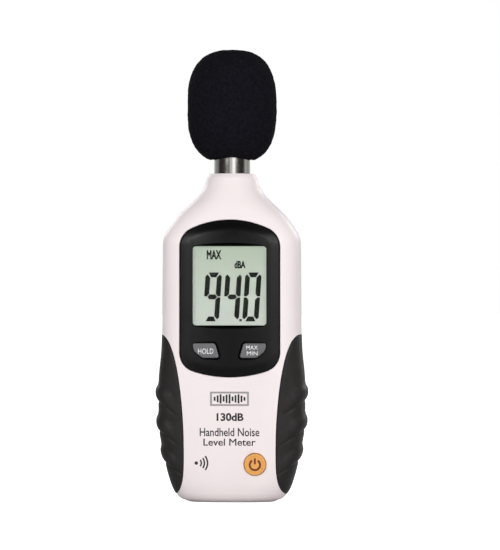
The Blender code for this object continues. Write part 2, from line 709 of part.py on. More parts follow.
def make_battery_door():
    """A curved cover with two hooks at its lower edge and a springy latch tongue at its upper edge."""
    door = case_loft("battery_door", material=CASE_WHITE)
    across = (-DOOR_HALF_WIDTH, DOOR_HALF_WIDTH)
    keep_inside(door, block("door_limit", across, (5.0 * MM, FAR), (DOOR_LOW, DOOR_HIGH)))
    cut(door, case_loft("cut_door_inside", inset=DOOR_THICKNESS))
    for side in (-1, 1):
        x = (side * DOOR_TAB_X - 1.8 * MM, side * DOOR_TAB_X + 1.8 * MM)
        join(door, block(f"door_hook_{side}", x, (10.4 * MM, 12.9 * MM), (8.6 * MM, 10.2 * MM)))
        join(door, block(f"door_hook_toe_{side}", x, (10.41 * MM, 11.6 * MM), (7.0 * MM, 8.8 * MM)))
        slit = (side * LATCH_HALF_WIDTH - LATCH_SLIT / 2, side * LATCH_HALF_WIDTH + LATCH_SLIT / 2)
        cut(door, block(f"cut_latch_slit_{side}", slit, (5.0 * MM, FAR), (DOOR_HIGH - LATCH_LENGTH, FAR * 3)))
    for i in range(4):
        z = DOOR_HIGH - (1.6 + 1.5 * i) * MM
        x, y, height = (-3.4 * MM, 3.4 * MM), (14.0 * MM, 14.55 * MM), (z - 0.35 * MM, z + 0.35 * MM)
        join(door, block(f"latch_rib_{i}", x, y, height))
    hang_on("door_hinge", DOOR_HINGE, door)
    shade_round(door)


def make_grips(shared):
    """Soft side grips that wrap from the front face to the rear, with three finger ribs on the flank."""
    rings = [case_section(height, -GRIP_PROUD - rib_rise(height), -GRIP_PROUD) for height in grip_levels()]
    skin = loft("grip_skin", rings)
    floor = pocket_floor_loft("cut_grip_floor", lift=GAP)
    for side, name in ((-1, "left"), (1, "right")):
        grip = grip_wedge(f"{name}_grip", side, material=GRIP_RUBBER)
        keep_inside(grip, skin)
        cut(grip, floor)
        shade_round(grip)


# ---------------------------------------------------------------- display and keys

def make_bezel():
    window = rectangle(WINDOW_HALF_WIDTH, WINDOW_LOW, WINDOW_HIGH, WINDOW_CORNER)
    outlines = [bezel_outline(), window]
    outlines += [grown(key_outline(side), KEY_CLEARANCE) for side in (-1, 1)]
    bezel = plate("display_bezel", outlines, (-18.0 * MM, BEZEL_BACK), BEZEL_BLACK)
    keep_inside(bezel, case_loft("bezel_crown", inset=-BEZEL_PROUD))
    margin = LENS_MARGIN + GAP
    rabbet = rectangle(WINDOW_HALF_WIDTH + margin, WINDOW_LOW - margin, WINDOW_HIGH + margin)
    cut(bezel, plate("cut_lens_rabbet", [rabbet], (LENS_FRONT - GAP, 0)))
    shade_round(bezel)


def make_display():
    lens = rectangle(WINDOW_HALF_WIDTH + LENS_MARGIN, WINDOW_LOW - LENS_MARGIN, WINDOW_HIGH + LENS_MARGIN)
    plate("window_lens", [lens], (LENS_FRONT, LENS_BACK), CLEAR)
    glass = rectangle(GLASS_HALF_WIDTH, GLASS_LOW, GLASS_HIGH)
    plate("lcd_glass", [glass], (GLASS_FRONT, GLASS_BACK), DISPLAY_GREEN)
    outlines = [
        rectangle(HOLDER_HALF_WIDTH, HOLDER_LOW, HOLDER_HIGH),
        rectangle(HOLDER_WINDOW_HALF_WIDTH, *HOLDER_WINDOW),
    ]
    for height in ZEBRA_HEIGHTS.values():
        half = ZEBRA_HALF_HEIGHT + GAP
        outlines.append(rectangle(ZEBRA_HALF_WIDTH + GAP, height - half, height + half))
    holder = plate("lcd_holder", outlines, (HOLDER_FRONT, BOARD_FRONT - GAP), HOLDER_WHITE)
    nest = rectangle(GLASS_HALF_WIDTH + GAP, GLASS_LOW - GAP, GLASS_HIGH + GAP)
    cut(holder, plate("cut_glass_nest", [nest], (-14.0 * MM, GLASS_BACK + GAP)))
    for name, height in ZEBRA_HEIGHTS.items():
        strip = rectangle(ZEBRA_HALF_WIDTH, height - ZEBRA_HALF_HEIGHT, height + ZEBRA_HALF_HEIGHT)
        plate(f"{name}_contact_strip", [strip], (GLASS_BACK + GAP, BOARD_FRONT - GAP), ZEBRA_PINK)


def make_key(name, side):
    """A key cap with a flange behind the bezel and a stem to its switch."""
    outline = key_outline(side)
    flange_front, flange_back = BEZEL_BACK + GAP, BEZEL_BACK + GAP + FLANGE_THICKNESS
    key = plate(f"{name}_button", [outline], (KEY_FACE, flange_front + 0.1 * MM), KEY_GREY)
    join(key, plate(f"{name}_flange", [grown(outline, KEY_FLANGE)], (flange_front, flange_back)))
    x, height = (value * MM for value in SWITCHES_MM[name])
    join(key, cutter_at(f"{name}_stem", STEM_RADIUS, x, height, (flange_back - 0.2 * MM, STEM_END), 12))
    return key


def make_power_key():
    """A round domed key in the lower right of the front face."""
    flange, front = POWER_RADIUS + 1.1 * MM, -POWER_FLANGE_FRONT
    back = front - FLANGE_THICKNESS
    profile = [
        (0, -POWER_FACE), (0.6 * POWER_RADIUS, -POWER_FACE - 0.05 * MM),
        (0.9 * POWER_RADIUS, -POWER_FACE - 0.2 * MM), (POWER_RADIUS, -POWER_FACE - 0.5 * MM),
        (POWER_RADIUS, front), (flange, front), (flange, back),
        (STEM_RADIUS, back), (STEM_RADIUS, -STEM_END), (0, -STEM_END),
    ]
    return turned("power_button", profile, KEY_AMBER, 24, location=(POWER_X, 0, POWER_HEIGHT), axis="-Y")


def make_switches_and_keys():
    keys = {"hold": make_key("hold", -1), "max_min": make_key("max_min", 1), "power": make_power_key()}
    for name, (x, height) in SWITCHES_MM.items():
        x, height = x * MM, height * MM
        body = block(
            f"{name}_switch", (x - SWITCH_HALF_SIDE, x + SWITCH_HALF_SIDE), (SWITCH_FRONT, BOARD_FRONT - GAP),
            (height - SWITCH_HALF_SIDE, height + SWITCH_HALF_SIDE), CHIP_BLACK,
        )
        cut(body, cutter_at(f"cut_{name}_bore", SWITCH_BORE_RADIUS, x, height, (-12.0 * MM, SWITCH_BORE_END)))
        plunger = rod(
            f"{name}_switch_plunger", PLUNGER_RADIUS, (x, PLUNGER_FRONT, height), (x, PLUNGER_BACK, height),
            KEY_GREY, 12,
        )
        hang_on(f"{name}_press", (x, KEY_FACE, height), keys[name], plunger)


# ---------------------------------------------------------------- circuit board

def make_board():
    right = [(x * MM, height * MM) for x, height in BOARD_OUTLINE_MM]
    outlines = [right + [(-x, height) for x, height in reversed(right)]]
    for x, height in BOARD_SCREWS_MM.values():
        outlines.append(arc((x * MM, height * MM), BOARD_SCREW["shank_radius"] + GAP, 0, 330, 11))
    plate("main_board", outlines, (BOARD_FRONT, BOARD_BACK), BOARD_GREEN)


def make_board_components():
    """Chips, a crystal, a capacitor and the calibration trimmer on the board's rear face."""
    seat = BOARD_BACK + GAP
    for name, x, thickness, height in (
        ("processor_chip", (-5.0, 5.0), 1.6, (71.0, 81.0)),
        ("amplifier_chip", (-11.5, -6.5), 1.4, (86.0, 90.0)),
    ):
        x, height = ([value * MM for value in pair] for pair in (x, height))
        block(name, x, (seat, seat + thickness * MM), height, CHIP_BLACK)
    x, y, height = 10.0 * MM, seat + 1.5 * MM, 84.0 * MM
    rod("crystal", 1.5 * MM, (x, y, 66.0 * MM), (x, y, 74.0 * MM), STEEL, 16)
    rod("filter_capacitor", 2.5 * MM, (x, seat, height), (x, seat + 3.4 * MM, height), STEEL, 20)
    x, height, half = TRIMMER_X, TRIMMER_HEIGHT, 2.3 * MM
    body = block(
        "trimmer_body", (x - half, x + half), (seat, seat + 2.4 * MM), (height - half, height + half),
        TRIMMER_BLUE,
    )
    cut(body, cutter_at("cut_trimmer_bore", 1.6 * MM, x, height, (seat + 0.9 * MM, 0), 20))
    face = seat + 2.8 * MM
    rotor = rod("trimmer_rotor", 1.3 * MM, (x, seat + 1.2 * MM, height), (x, face, height), STEEL, 20)
    slot = (height - 0.22 * MM, height + 0.22 * MM)
    cut(rotor, block("cut_trimmer_slot", (x - 1.0 * MM, x + 1.0 * MM), (seat + 2.2 * MM, 0), slot))
    hang_on("trimmer_turn", (x, face, height), rotor)


def make_screw(name, x, height, seat, size):
    """A pan-head screw driven in from the rear, with a cross recess."""
    head, shank = size["head_radius"], size["shank_radius"]
    top, tip = size["head_height"], -size["length"] + size["head_height"]
    profile = [
        (0, top), (0.7 * head, top - 0.1 * MM), (head, top - 0.5 * MM), (head, 0), (shank, 0),
        (shank, tip + 1.2 * MM), (0.3 * shank, tip), (0, tip),
    ]
    screw = turned(name, profile, STEEL, 12, location=(x, seat, height), axis="+Y")
    arm, blade = 0.62 * head, 0.14 * head
    deep = (seat + top - 0.7 * MM, seat + top + 1.0 * MM)
    cut(
        screw,
        block(f"cut_cross_across_{name}", (x - arm, x + arm), deep, (height - blade, height + blade)),
        block(f"cut_cross_upright_{name}", (x - blade, x + blade), deep, (height - arm, height + arm)),
    )


def make_screws():
    for name, (x, height) in CASE_SCREWS_MM.items():
        make_screw(f"case_screw_{name}", x * MM, height * MM, SCREW_SEAT + GAP, CASE_SCREW)
    for name, (x, height) in BOARD_SCREWS_MM.items():
        make_screw(f"board_screw_{name}", x * MM, height * MM, BOARD_BACK + GAP, BOARD_SCREW)


# ---------------------------------------------------------------- microphone

def make_microphone():
    flange_low, flange_high = NECK_FLANGE
    tube = [
        (NECK_RADIUS - 0.3 * MM, NECK_HIGH), (NECK_RADIUS, NECK_HIGH - 0.3 * MM), (NECK_RADIUS, flange_high),
        (NECK_FLANGE_RADIUS, flange_high), (NECK_FLANGE_RADIUS, flange_low), (NECK_RADIUS, flange_low),
        (NECK_RADIUS, NECK_LOW), (NECK_BORE, NECK_LOW), (NECK_BORE, NECK_HIGH),
    ]
    turned("microphone_neck", tube, NECK_STEEL, 24, closed=True)
    skirt, rim = NECK_BORE - GAP, NECK_HIGH + GAP
    cap = [
        (0, GRILLE_TOP), (NECK_RADIUS - 0.4 * MM, GRILLE_TOP), (NECK_RADIUS, GRILLE_TOP - 0.4 * MM),
        (NECK_RADIUS, rim), (skirt, rim), (skirt, 137.8 * MM), (4.5 * MM, 137.8 * MM),
        (4.5 * MM, GRILLE_TOP - 0.8 * MM), (0, GRILLE_TOP - 0.8 * MM),
    ]
    grille = turned("microphone_grille", cap, NECK_STEEL, 24)
    holes = [(0.0, 0.0)]
    holes += [(2.9 * MM * math.cos(k * math.pi / 3), 2.9 * MM * math.sin(k * math.pi / 3)) for k in range(6)]
    for i, (x, y) in enumerate(holes):
        cut(grille, rod(f"cut_grille_hole_{i}", 0.75 * MM, (x, y, 0.139), (x, y, 0.142), sides=8))
    boot = [
        (NECK_BORE - GAP, 137.4 * MM), (NECK_BORE - GAP, 130.5 * MM), (1.9 * MM, 130.5 * MM),
        (1.9 * MM, CAPSULE[0] - GAP), (CAPSULE_RADIUS + GAP, CAPSULE[0] - GAP),
        (CAPSULE_RADIUS + GAP, 137.4 * MM),
    ]
    turned("capsule_boot", boot, RUBBER_BLACK, 16, closed=True)
    rod("microphone_capsule", CAPSULE_RADIUS, (0, 0, CAPSULE[0]), (0, 0, CAPSULE[1]), STEEL, 16)
    for side, name, material in ((-1, "ground", WIRE_BLACK), (1, "signal", WIRE_RED)):
        route = smooth_route([
            (side * 0.0009, 0, 0.1315), (side * 0.0009, 0, 0.112), (side * 0.0022, -0.0003, 0.104),
            (side * 0.0043, -0.0010, 0.0985), (side * 0.0046, -0.0025, 0.0962),
            (side * 0.0046, -0.0036, 0.0960),
        ])
        wire(f"microphone_{name}_wire", route, 0.45 * MM, material)


def make_windscreen():
    """A foam ball: two half superellipses of revolution with a socket for the neck."""
    def profile_point(angle):
        up = math.sin(angle) >= 0
        shape = WINDSCREEN_UPPER_SHAPE if up else WINDSCREEN_LOWER_SHAPE
        rise = WINDSCREEN_TOP - WINDSCREEN_WIDEST if up else WINDSCREEN_LOW - WINDSCREEN_WIDEST
        radius = WINDSCREEN_RADIUS * abs(math.cos(angle)) ** (2 / shape)
        return radius, WINDSCREEN_WIDEST + rise * abs(math.sin(angle)) ** (2 / shape)

    socket_radius, socket_top = WINDSCREEN_SOCKET
    lip = socket_radius + 0.5 * MM
    outside = [profile_point(math.radians(90 - 10.0 * i)) for i in range(19)]
    profile = [(0.0, WINDSCREEN_TOP)] + [p for p in outside[1:] if p[0] > lip]
    profile += [
        (lip, WINDSCREEN_LOW + 0.35 * MM), (socket_radius, WINDSCREEN_LOW + 1.0 * MM),
        (socket_radius, socket_top), (0.0, socket_top),
    ]
    foam = turned("windscreen", profile, FOAM_BLACK, 28)
    hang_on("windscreen_lift", (0, 0, WINDSCREEN_LOW), foam)


# ---------------------------------------------------------------- batteries

def make_cells():
    """Three AAA cells side by side; the middle one is the other way up."""
    low, high = TRAY_LOW + GAP, TRAY_HIGH - GAP
    plate_gap = CONTACT_THICKNESS + GAP
    for number, side, nub_up in ((1, -1, True), (2, 0, False), (3, 1, True)):
        x = side * CELL_SPACING
        start = high - plate_gap - CELL_LENGTH if nub_up else low + plate_gap
        shoulder, edge = CELL_LENGTH - CELL_NUB, 0.35 * MM
        profile = [
            (0, CELL_LENGTH), (CELL_NUB_RADIUS, CELL_LENGTH), (CELL_NUB_RADIUS, shoulder),
            (CELL_RADIUS - edge, shoulder), (CELL_RADIUS, shoulder - edge), (CELL_RADIUS, edge),
            (CELL_RADIUS - edge, 0), (0, 0),
        ]
        cell = turned(f"battery_{number}", profile, CELL_WRAP, 20, location=(x, CELL_DEPTH, start))
        if not nub_up:
            cell.rotation_euler.x = math.pi
            cell.location.z = start + CELL_LENGTH
        spring_low = low + plate_gap if nub_up else start + CELL_LENGTH + GAP
        spring_high = start - GAP if nub_up else high - plate_gap
        make_spring(f"battery_spring_{number}", x, spring_low, spring_high, wide_end_low=nub_up)


def make_spring(name, x, low, high, wide_end_low):
    """A conical contact spring."""
    wire_radius, turns, per_turn = 0.28 * MM, 3.5, 8
    wide, narrow = 3.3 * MM, 2.0 * MM
    route = []
    for i in range(int(turns * per_turn) + 1):
        share = i / (turns * per_turn)
        radius = wide + (narrow - wide) * (share if wide_end_low else 1 - share)
        angle = 2 * math.pi * turns * share
        height = low + wire_radius + (high - low - 2 * wire_radius) * share
        route.append((x + radius * math.cos(angle), CELL_DEPTH + radius * math.sin(angle), height))
    wire(name, route, wire_radius, STEEL)


def make_contacts():
    """Flat contact plates at both ends of the tray. Each terminal has a tail through the tray's floor."""
    half_plate = 4.3 * MM
    first, middle, last = -CELL_SPACING, 0.0, CELL_SPACING
    top = (TRAY_HIGH - GAP - CONTACT_THICKNESS, TRAY_HIGH - GAP)
    bottom = (TRAY_LOW + GAP, TRAY_LOW + GAP + CONTACT_THICKNESS)
    y = (2.2 * MM, 9.8 * MM)
    plates = {
        "positive_terminal": (first, first, top), "upper_link": (middle, last, top),
        "lower_link": (first, middle, bottom), "negative_terminal": (last, last, bottom),
    }
    for name, (left, right, z) in plates.items():
        contact = block(f"contact_{name}", (left - half_plate, right + half_plate), y, z, STEEL)
        if name.endswith("terminal"):
            tail = block(f"tail_{name}", (left - 1.0 * MM, left + 1.0 * MM), (-0.5 * MM, y[0] + 0.5 * MM), z)
            join(contact, tail)


def make_battery_leads():
    middle_top = TRAY_HIGH - GAP - CONTACT_THICKNESS / 2
    middle_bottom = TRAY_LOW + GAP + CONTACT_THICKNESS / 2
    x, board = CELL_SPACING, BOARD_BACK + 0.35 * MM
    red = smooth_route([
        (-x, -0.0009, middle_top), (-x, -0.0014, middle_top), (-x - 0.0012, -0.0021, middle_top - 0.0018),
        (-x - 0.0018, -0.0030, middle_top - 0.0032), (-x - 0.0018, board, middle_top - 0.0034),
    ])
    black = smooth_route([
        (x, -0.0009, middle_bottom), (x, -0.0014, middle_bottom),
        (x + 0.0004, -0.0021, middle_bottom + 0.0018),
        (x + 0.0008, -0.0030, middle_bottom + 0.0032), (x + 0.0008, board, middle_bottom + 0.0034),
    ])
    wire("battery_positive_lead", red, 0.45 * MM, WIRE_RED)
    wire("battery_negative_lead", black, 0.45 * MM, WIRE_BLACK)


# ---------------------------------------------------------------- assembly

ROOT = bpy.data.objects.new("sound_level_meter", None)
METER.objects.link(ROOT)


def main():
    shared = make_shared_cutters()
    make_front_shell(shared)
    make_rear_shell(shared)
    make_battery_door()
    make_grips(shared)
    make_bezel()
    make_display()
    make_board()
    make_switches_and_keys()
    make_board_components()
    make_screws()
    make_microphone()
    make_windscreen()
    make_cells()
    make_contacts()
    make_battery_leads()
    for obj in METER.objects:
        if obj is not ROOT and obj.parent is None:
            obj.parent = ROOT


main()
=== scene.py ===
"""The looks of a handheld digital sound level meter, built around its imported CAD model.

Metres, +Z up, display towards -Y. Fine surfaces replace the faceted CAD solids where they show.
"""

import json
import math
from contextlib import contextmanager

import bmesh
import bpy
import numpy as np
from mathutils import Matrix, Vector, noise

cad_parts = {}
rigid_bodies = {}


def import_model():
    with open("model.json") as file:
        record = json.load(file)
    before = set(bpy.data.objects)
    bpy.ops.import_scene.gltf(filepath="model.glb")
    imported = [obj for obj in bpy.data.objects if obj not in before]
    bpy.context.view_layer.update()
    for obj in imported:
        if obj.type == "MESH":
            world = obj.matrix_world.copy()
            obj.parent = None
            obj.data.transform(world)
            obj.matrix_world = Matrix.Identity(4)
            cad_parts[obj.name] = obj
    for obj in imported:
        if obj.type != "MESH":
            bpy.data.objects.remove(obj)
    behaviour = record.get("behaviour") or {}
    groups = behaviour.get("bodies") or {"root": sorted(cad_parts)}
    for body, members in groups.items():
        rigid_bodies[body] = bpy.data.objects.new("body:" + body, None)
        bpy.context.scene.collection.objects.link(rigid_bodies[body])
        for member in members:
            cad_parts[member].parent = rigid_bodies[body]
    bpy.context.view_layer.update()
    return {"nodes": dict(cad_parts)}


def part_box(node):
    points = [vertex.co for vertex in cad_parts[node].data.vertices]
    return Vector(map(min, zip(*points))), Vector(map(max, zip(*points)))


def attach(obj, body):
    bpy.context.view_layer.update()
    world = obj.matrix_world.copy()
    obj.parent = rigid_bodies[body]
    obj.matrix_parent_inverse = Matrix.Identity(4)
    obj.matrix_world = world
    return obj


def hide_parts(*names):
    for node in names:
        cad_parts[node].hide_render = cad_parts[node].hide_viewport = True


for leftover in list(bpy.data.objects):
    bpy.data.objects.remove(leftover)

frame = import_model()

MM = 0.001

# Case form: height, half width, half depth, squareness of the cross-section (2 is an ellipse).
CASE = np.array([
    (0.0, 15.0, 9.4, 2.8), (1.2, 18.0, 11.8, 3.0), (3.4, 19.8, 13.2, 3.3), (7.0, 21.3, 14.0, 3.7),
    (14.0, 23.1, 14.3, 4.0), (28.0, 24.8, 14.3, 4.0), (44.0, 24.9, 14.3, 4.0), (58.0, 24.4, 14.3, 4.0),
    (88.0, 24.15, 14.3, 4.0), (90.5, 24.12, 14.29, 4.0), (92.2, 23.9, 14.2, 3.9), (94.0, 23.15, 14.07, 3.8),
    (95.8, 22.15, 13.85, 3.65), (100.0, 19.1, 13.1, 3.3), (104.3, 14.8, 11.9, 2.8), (107.8, 11.45, 10.5, 2.4),
    (111.3, 9.45, 9.3, 2.1), (113.6, 8.75, 8.75, 2.0), (115.0, 7.9, 7.9, 2.0),
])
# Cavity: height, wall at the sides, wall in front and behind, squareness of its cross-section.
CAVITY = np.array([
    (2.2, 4.4, 3.0, 2.8), (7.0, 4.3, 2.1, 3.0), (46.0, 4.2, 2.1, 3.0), (57.5, 3.0, 2.1, 3.8),
    (63.0, 2.1, 2.1, 4.0), (92.0, 2.1, 2.1, 3.9), (97.5, 2.1, 2.1, 3.5), (101.5, 2.2, 2.2, 3.0),
])
# Pocket under a grip: height, depth of its floor under the case's surface.
GRIP_FLOOR = np.array([(0.0, 1.2), (8.0, 1.9), (48.0, 1.9), (61.0, 1.0)])

# Corners of the right-hand key: x, height, radius. The switches and screws have x and height.
KEY_CORNERS = (
    (3.5, 50.6, 0.7), (9.4, 50.6, 2.6), (12.4, 52.9, 2.6), (12.9, 55.7, 0.7), (5.0, 55.7, 1.2),
)
SWITCHES = {"hold": (-8.3, 53.2), "max_min": (8.3, 53.2), "power": (8.9, 13.5)}
CASE_SCREWS = {"upper_left": (12.0, 99.0), "upper_right": (-12.0, 99.0),
               "lower_left": (13.0, 5.0), "lower_right": (-13.0, 5.0)}
BOARD_SCREWS = [(0.0, 99.1), (-14.4, 44.0), (14.4, 44.0), (-6.0, 12.4)]
BOARD_FRONT = -5.9
BEZEL_HALF, BEZEL_BACK = 17.55, -12.9   # half width, y of its back
WINDOW = (12.85, 61.9, 89.5)        # half width, bottom, top
LENS = (-13.9, -13.1)               # front, back
GLASS_FRONT = -12.7
KEY_FRONT, KEY_BACK = -15.4, -12.5
NECK = 6.35
SOCKET = NECK + 0.3
CELL_PITCH, CELL_Y = 10.9, 6.9
CELL_SEAMS = (-CELL_PITCH / 2, CELL_PITCH / 2)
CELLS = ((1, True), (2, False), (3, True))      # number, and whether the button end is up
PRINT_THICKNESS = 0.05
WIDE, TALL = (-30, 30), (-5, 200)   # ranges that reach past the case, across and along it


# ---------------------------------------------------------------- looks

def add_node(tree, kind, inputs=None, **settings):
    """A new node. Each of its inputs is a value or another node's output."""
    node = tree.nodes.new(kind)
    for name, value in settings.items():
        setattr(node, name, value)
    for name, value in (inputs or {}).items():
        if isinstance(value, bpy.types.NodeSocket):
            tree.links.new(value, node.inputs[name])
        else:
            node.inputs[name].default_value = value
    return node


class Look:
    """A Principled material whose colour, roughness and relief vary with procedural noise."""

    def __init__(self, name, colour, roughness, metallic=0.0, **sockets):
        self.colour = (*colour, 1.0)
        self.material = bpy.data.materials.new(name)
        self.material.use_nodes = True
        self.material.diffuse_color = self.colour
        self.tree = self.material.node_tree
        self.inputs = self.tree.nodes["Principled BSDF"].inputs
        self.position = self.node("ShaderNodeTexCoord").outputs["Object"]
        self.relief = None
        sockets.update(Base_Color=self.colour, Roughness=roughness, Metallic=metallic)
        for socket, value in sockets.items():
            self.inputs[socket.replace("_", " ")].default_value = value

    def node(self, kind, inputs=None, **settings):
        return add_node(self.tree, kind, inputs, **settings)

    def link(self, output, name):
        self.tree.links.new(output, self.inputs[name])
        return self

    def noise(self, size, detail=3.0, stretch=(1, 1, 1), roughness=0.55):
        """Noise whose features are about size metres across, drawn out along an axis by stretch."""
        scale = [1 / (size * s) for s in stretch]
        vector = self.node("ShaderNodeMapping", {"Vector": self.position, "Scale": scale}).outputs[0]
        inputs = {"Vector": vector, "Scale": 1.0, "Detail": detail, "Roughness": roughness}
        return self.node("ShaderNodeTexNoise", inputs).outputs["Fac"]

    def cells(self, size):
        inputs = {"Vector": self.position, "Scale": 1 / size}
        return self.node("ShaderNodeTexVoronoi", inputs).outputs["Distance"]

    def spread(self, value, low, high, to_low, to_high):
        inputs = {"Value": value, "From Min": low, "From Max": high, "To Min": to_low, "To Max": to_high}
        return self.node("ShaderNodeMapRange", inputs).outputs[0]

    def axis(self, name):
        return self.node("ShaderNodeSeparateXYZ", {"Vector": self.position}).outputs[name]

    def tint(self, factor, colour):
        """Lays a colour over what the surface has so far, by a factor from 0 to 1."""
        base = self.inputs["Base Color"]
        under = base.links[0].from_socket if base.is_linked else self.colour
        inputs = {0: factor, 6: under, 7: (*colour, 1.0)}
        mix = self.node("ShaderNodeMix", inputs, data_type="RGBA", clamp_factor=True)
        return self.link(mix.outputs[2], "Base Color")

    def vary(self, size, colour, amount=1.0, detail=3.0):
        """Soft patches of a second colour."""
        return self.tint(self.spread(self.noise(size, detail), 0.35, 0.65, 0.0, amount), colour)

    def rough(self, value, low, high, to_low, to_high):
        return self.link(self.spread(value, low, high, to_low, to_high), "Roughness")

    def bump(self, height, depth):
        """Adds relief of about depth metres. Later calls lie over earlier ones."""
        inputs = {"Height": height, "Distance": depth, "Strength": 1.0}
        if self.relief:
            inputs["Normal"] = self.relief
        self.relief = self.node("ShaderNodeBump", inputs).outputs[0]
        return self.link(self.relief, "Normal")


def moulded(name, colour, roughness, grain=0.25 * MM, depth=0.02 * MM, patch=None, **sockets):
    """Spark-textured moulded plastic."""
    look = Look(name, colour, roughness, **sockets)
    look.vary(9 * MM, patch or [c * 0.93 for c in colour], 0.5, detail=4)
    look.rough(look.noise(3 * MM), 0.3, 0.7, roughness - 0.05, roughness + 0.06)
    return look.bump(look.noise(grain, 4, roughness=0.6), depth)


def plated(name, colour, roughness, stretch=(1, 1, 1), size=0.15 * MM, patch=None):
    """Metal with fine drawing or turning marks."""
    look = Look(name, colour, roughness, 1.0)
    marks = look.noise(size, 3, stretch)
    look.vary(2 * MM, patch or [c * 0.8 for c in colour], 0.5, detail=4)
    look.rough(marks, 0.3, 0.7, max(0.04, roughness - 0.06), roughness + 0.08)
    return look.bump(marks, 0.004 * MM)


CASE_WHITE = moulded("case_white", (0.875, 0.79, 0.795), 0.42, 0.22 * MM, 0.012 * MM, (0.855, 0.765, 0.77))
BEZEL_BLACK = moulded("bezel_black", (0.0013, 0.0013, 0.0015), 0.33, 0.2 * MM, 0.006 * MM,
                      (0.0018, 0.0018, 0.002), Specular_IOR_Level=0.19)
# Duller and darker than the bezel: painted shade for the skin in the display window's recess.
PAINTED_SHADE_BLACK = moulded("painted_shade_black", (0.001, 0.001, 0.0011), 0.75, 0.2 * MM, 0.006 * MM,
                       Specular_IOR_Level=0.03)
KEY_GREY = moulded("key_grey", (0.125, 0.125, 0.133), 0.42, 0.2 * MM, 0.008 * MM, (0.145, 0.145, 0.155))
KEY_AMBER = moulded("key_amber", (0.80, 0.375, 0.09), 0.38, 0.25 * MM, 0.008 * MM, (0.84, 0.42, 0.11))
HOLDER = moulded("holder_plastic", (0.62, 0.62, 0.60), 0.55)
SILICONE = moulded("strip_silicone", (0.45, 0.22, 0.22), 0.55, 0.3 * MM, 0.01 * MM)
SILICONE.tint(SILICONE.spread(SILICONE.axis("Y"), -0.0079, -0.0078, 0.0, 0.3), (0.02, 0.02, 0.02))
COMPONENT = moulded("component_epoxy", (0.016, 0.016, 0.017), 0.5, 0.12 * MM, 0.01 * MM)
TRIMMER = moulded("trimmer_blue", (0.03, 0.11, 0.42), 0.38, 0.2 * MM, 0.008 * MM)
WIRE_RED = moulded("insulation_red", (0.48, 0.02, 0.02), 0.38, 0.2 * MM, 0.008 * MM)
WIRE_BLACK = moulded("insulation_black", (0.02, 0.02, 0.022), 0.38, 0.2 * MM, 0.008 * MM)
BOOT = moulded("boot_rubber", (0.02, 0.02, 0.021), 0.65, 0.3 * MM, 0.015 * MM)

GRIP = Look("grip_rubber", (0.0165, 0.015, 0.0145), 0.52, Specular_IOR_Level=0.2)
GRIP.vary(5 * MM, (0.021, 0.0192, 0.0187), 0.8, detail=5)
GRIP.rough(GRIP.noise(1.5 * MM, 4), 0.3, 0.7, 0.44, 0.60)
GRIP.bump(GRIP.noise(0.35 * MM, 5, roughness=0.7), 0.03 * MM)

FOAM = Look("acoustic_foam", (0.0065, 0.006, 0.0088), 0.92, Specular_IOR_Level=0.02)
FOAM.vary(1.2 * MM, (0.011, 0.0102, 0.0142), 0.8, detail=6)
# Darker in the pits of the cell relief below: painted shade in the foam's pores.
FOAM.tint(FOAM.spread(FOAM.cells(0.55 * MM), 0.0, 0.35, 0.8, 0.0), (0.0025, 0.0024, 0.0032))
FOAM.bump(FOAM.cells(0.55 * MM), 0.25 * MM)
FOAM.bump(FOAM.noise(0.3 * MM, 5, roughness=0.75), 0.12 * MM)

NECK_STEEL = plated("polished_steel", (0.66, 0.655, 0.63), 0.06, (8, 8, 0.6), 0.25 * MM, (0.58, 0.575, 0.55))
STEEL = plated("plated_steel", (0.60, 0.60, 0.59), 0.28, (1, 1, 5), 0.12 * MM)
CAN = plated("tinned_can", (0.66, 0.66, 0.65), 0.30, (1, 1, 4), 0.2 * MM)
SPRING = plated("spring_steel", (0.64, 0.62, 0.57), 0.24)

# The display's reflector glows faintly though it has no backlight: painted light that fills the shade the
# window's walls cast on it.
LCD = Look("lcd_reflector_painted_glow", (0.098, 0.122, 0.078), 0.5, Emission_Color=(0.335, 0.37, 0.32, 1),
           Emission_Strength=1.0, Specular_IOR_Level=0.15)
LCD.bump(LCD.noise(0.15 * MM, 4), 0.004 * MM)
# Lighter towards the bottom and darker towards the top: a painted gradient of light and shade.
LCD.tint(LCD.spread(LCD.axis("Z"), 63 * MM, 89 * MM, 1.0, 0.0), (0.22, 0.225, 0.217))
LCD.vary(0.4 * MM, (0.12, 0.135, 0.112), 0.2, detail=5)
SEGMENT = Look("lcd_segment", (0.004, 0.006, 0.004), 0.5, Specular_IOR_Level=0.1)
SEGMENT.vary(0.8 * MM, (0.007, 0.009, 0.006), 1.0)

CLEAR = Look("clear_acrylic", (0.97, 0.985, 0.98), 0.02, Transmission_Weight=1.0, IOR=1.1)
CLEAR.bump(CLEAR.noise(6 * MM, 2), 0.003 * MM)
CLEAR.rough(CLEAR.noise(2 * MM, 4), 0.4, 0.8, 0.015, 0.05)

PRINT_BLACK = Look("print_black", (0.014, 0.014, 0.016), 0.5)
PRINT_BLACK.vary(0.5 * MM, (0.022, 0.021, 0.022), 1.0, detail=5)
PRINT_BLACK.bump(PRINT_BLACK.noise(0.12 * MM, 3), 0.004 * MM)
PRINT_GREY = Look("print_grey", (0.30, 0.28, 0.28), 0.45)
PRINT_GREY.vary(0.5 * MM, (0.36, 0.34, 0.34), 1.0, detail=5)
PRINT_WHITE = Look("print_white", (0.82, 0.82, 0.83), 0.5)
PRINT_WHITE.vary(0.5 * MM, (0.76, 0.76, 0.78), 1.0, detail=5)
PRINT_RUST = Look("print_rust", (0.15, 0.03, 0.008), 0.5, Specular_IOR_Level=0.3)
PRINT_RUST.vary(0.5 * MM, (0.19, 0.038, 0.011), 1.0, detail=5)

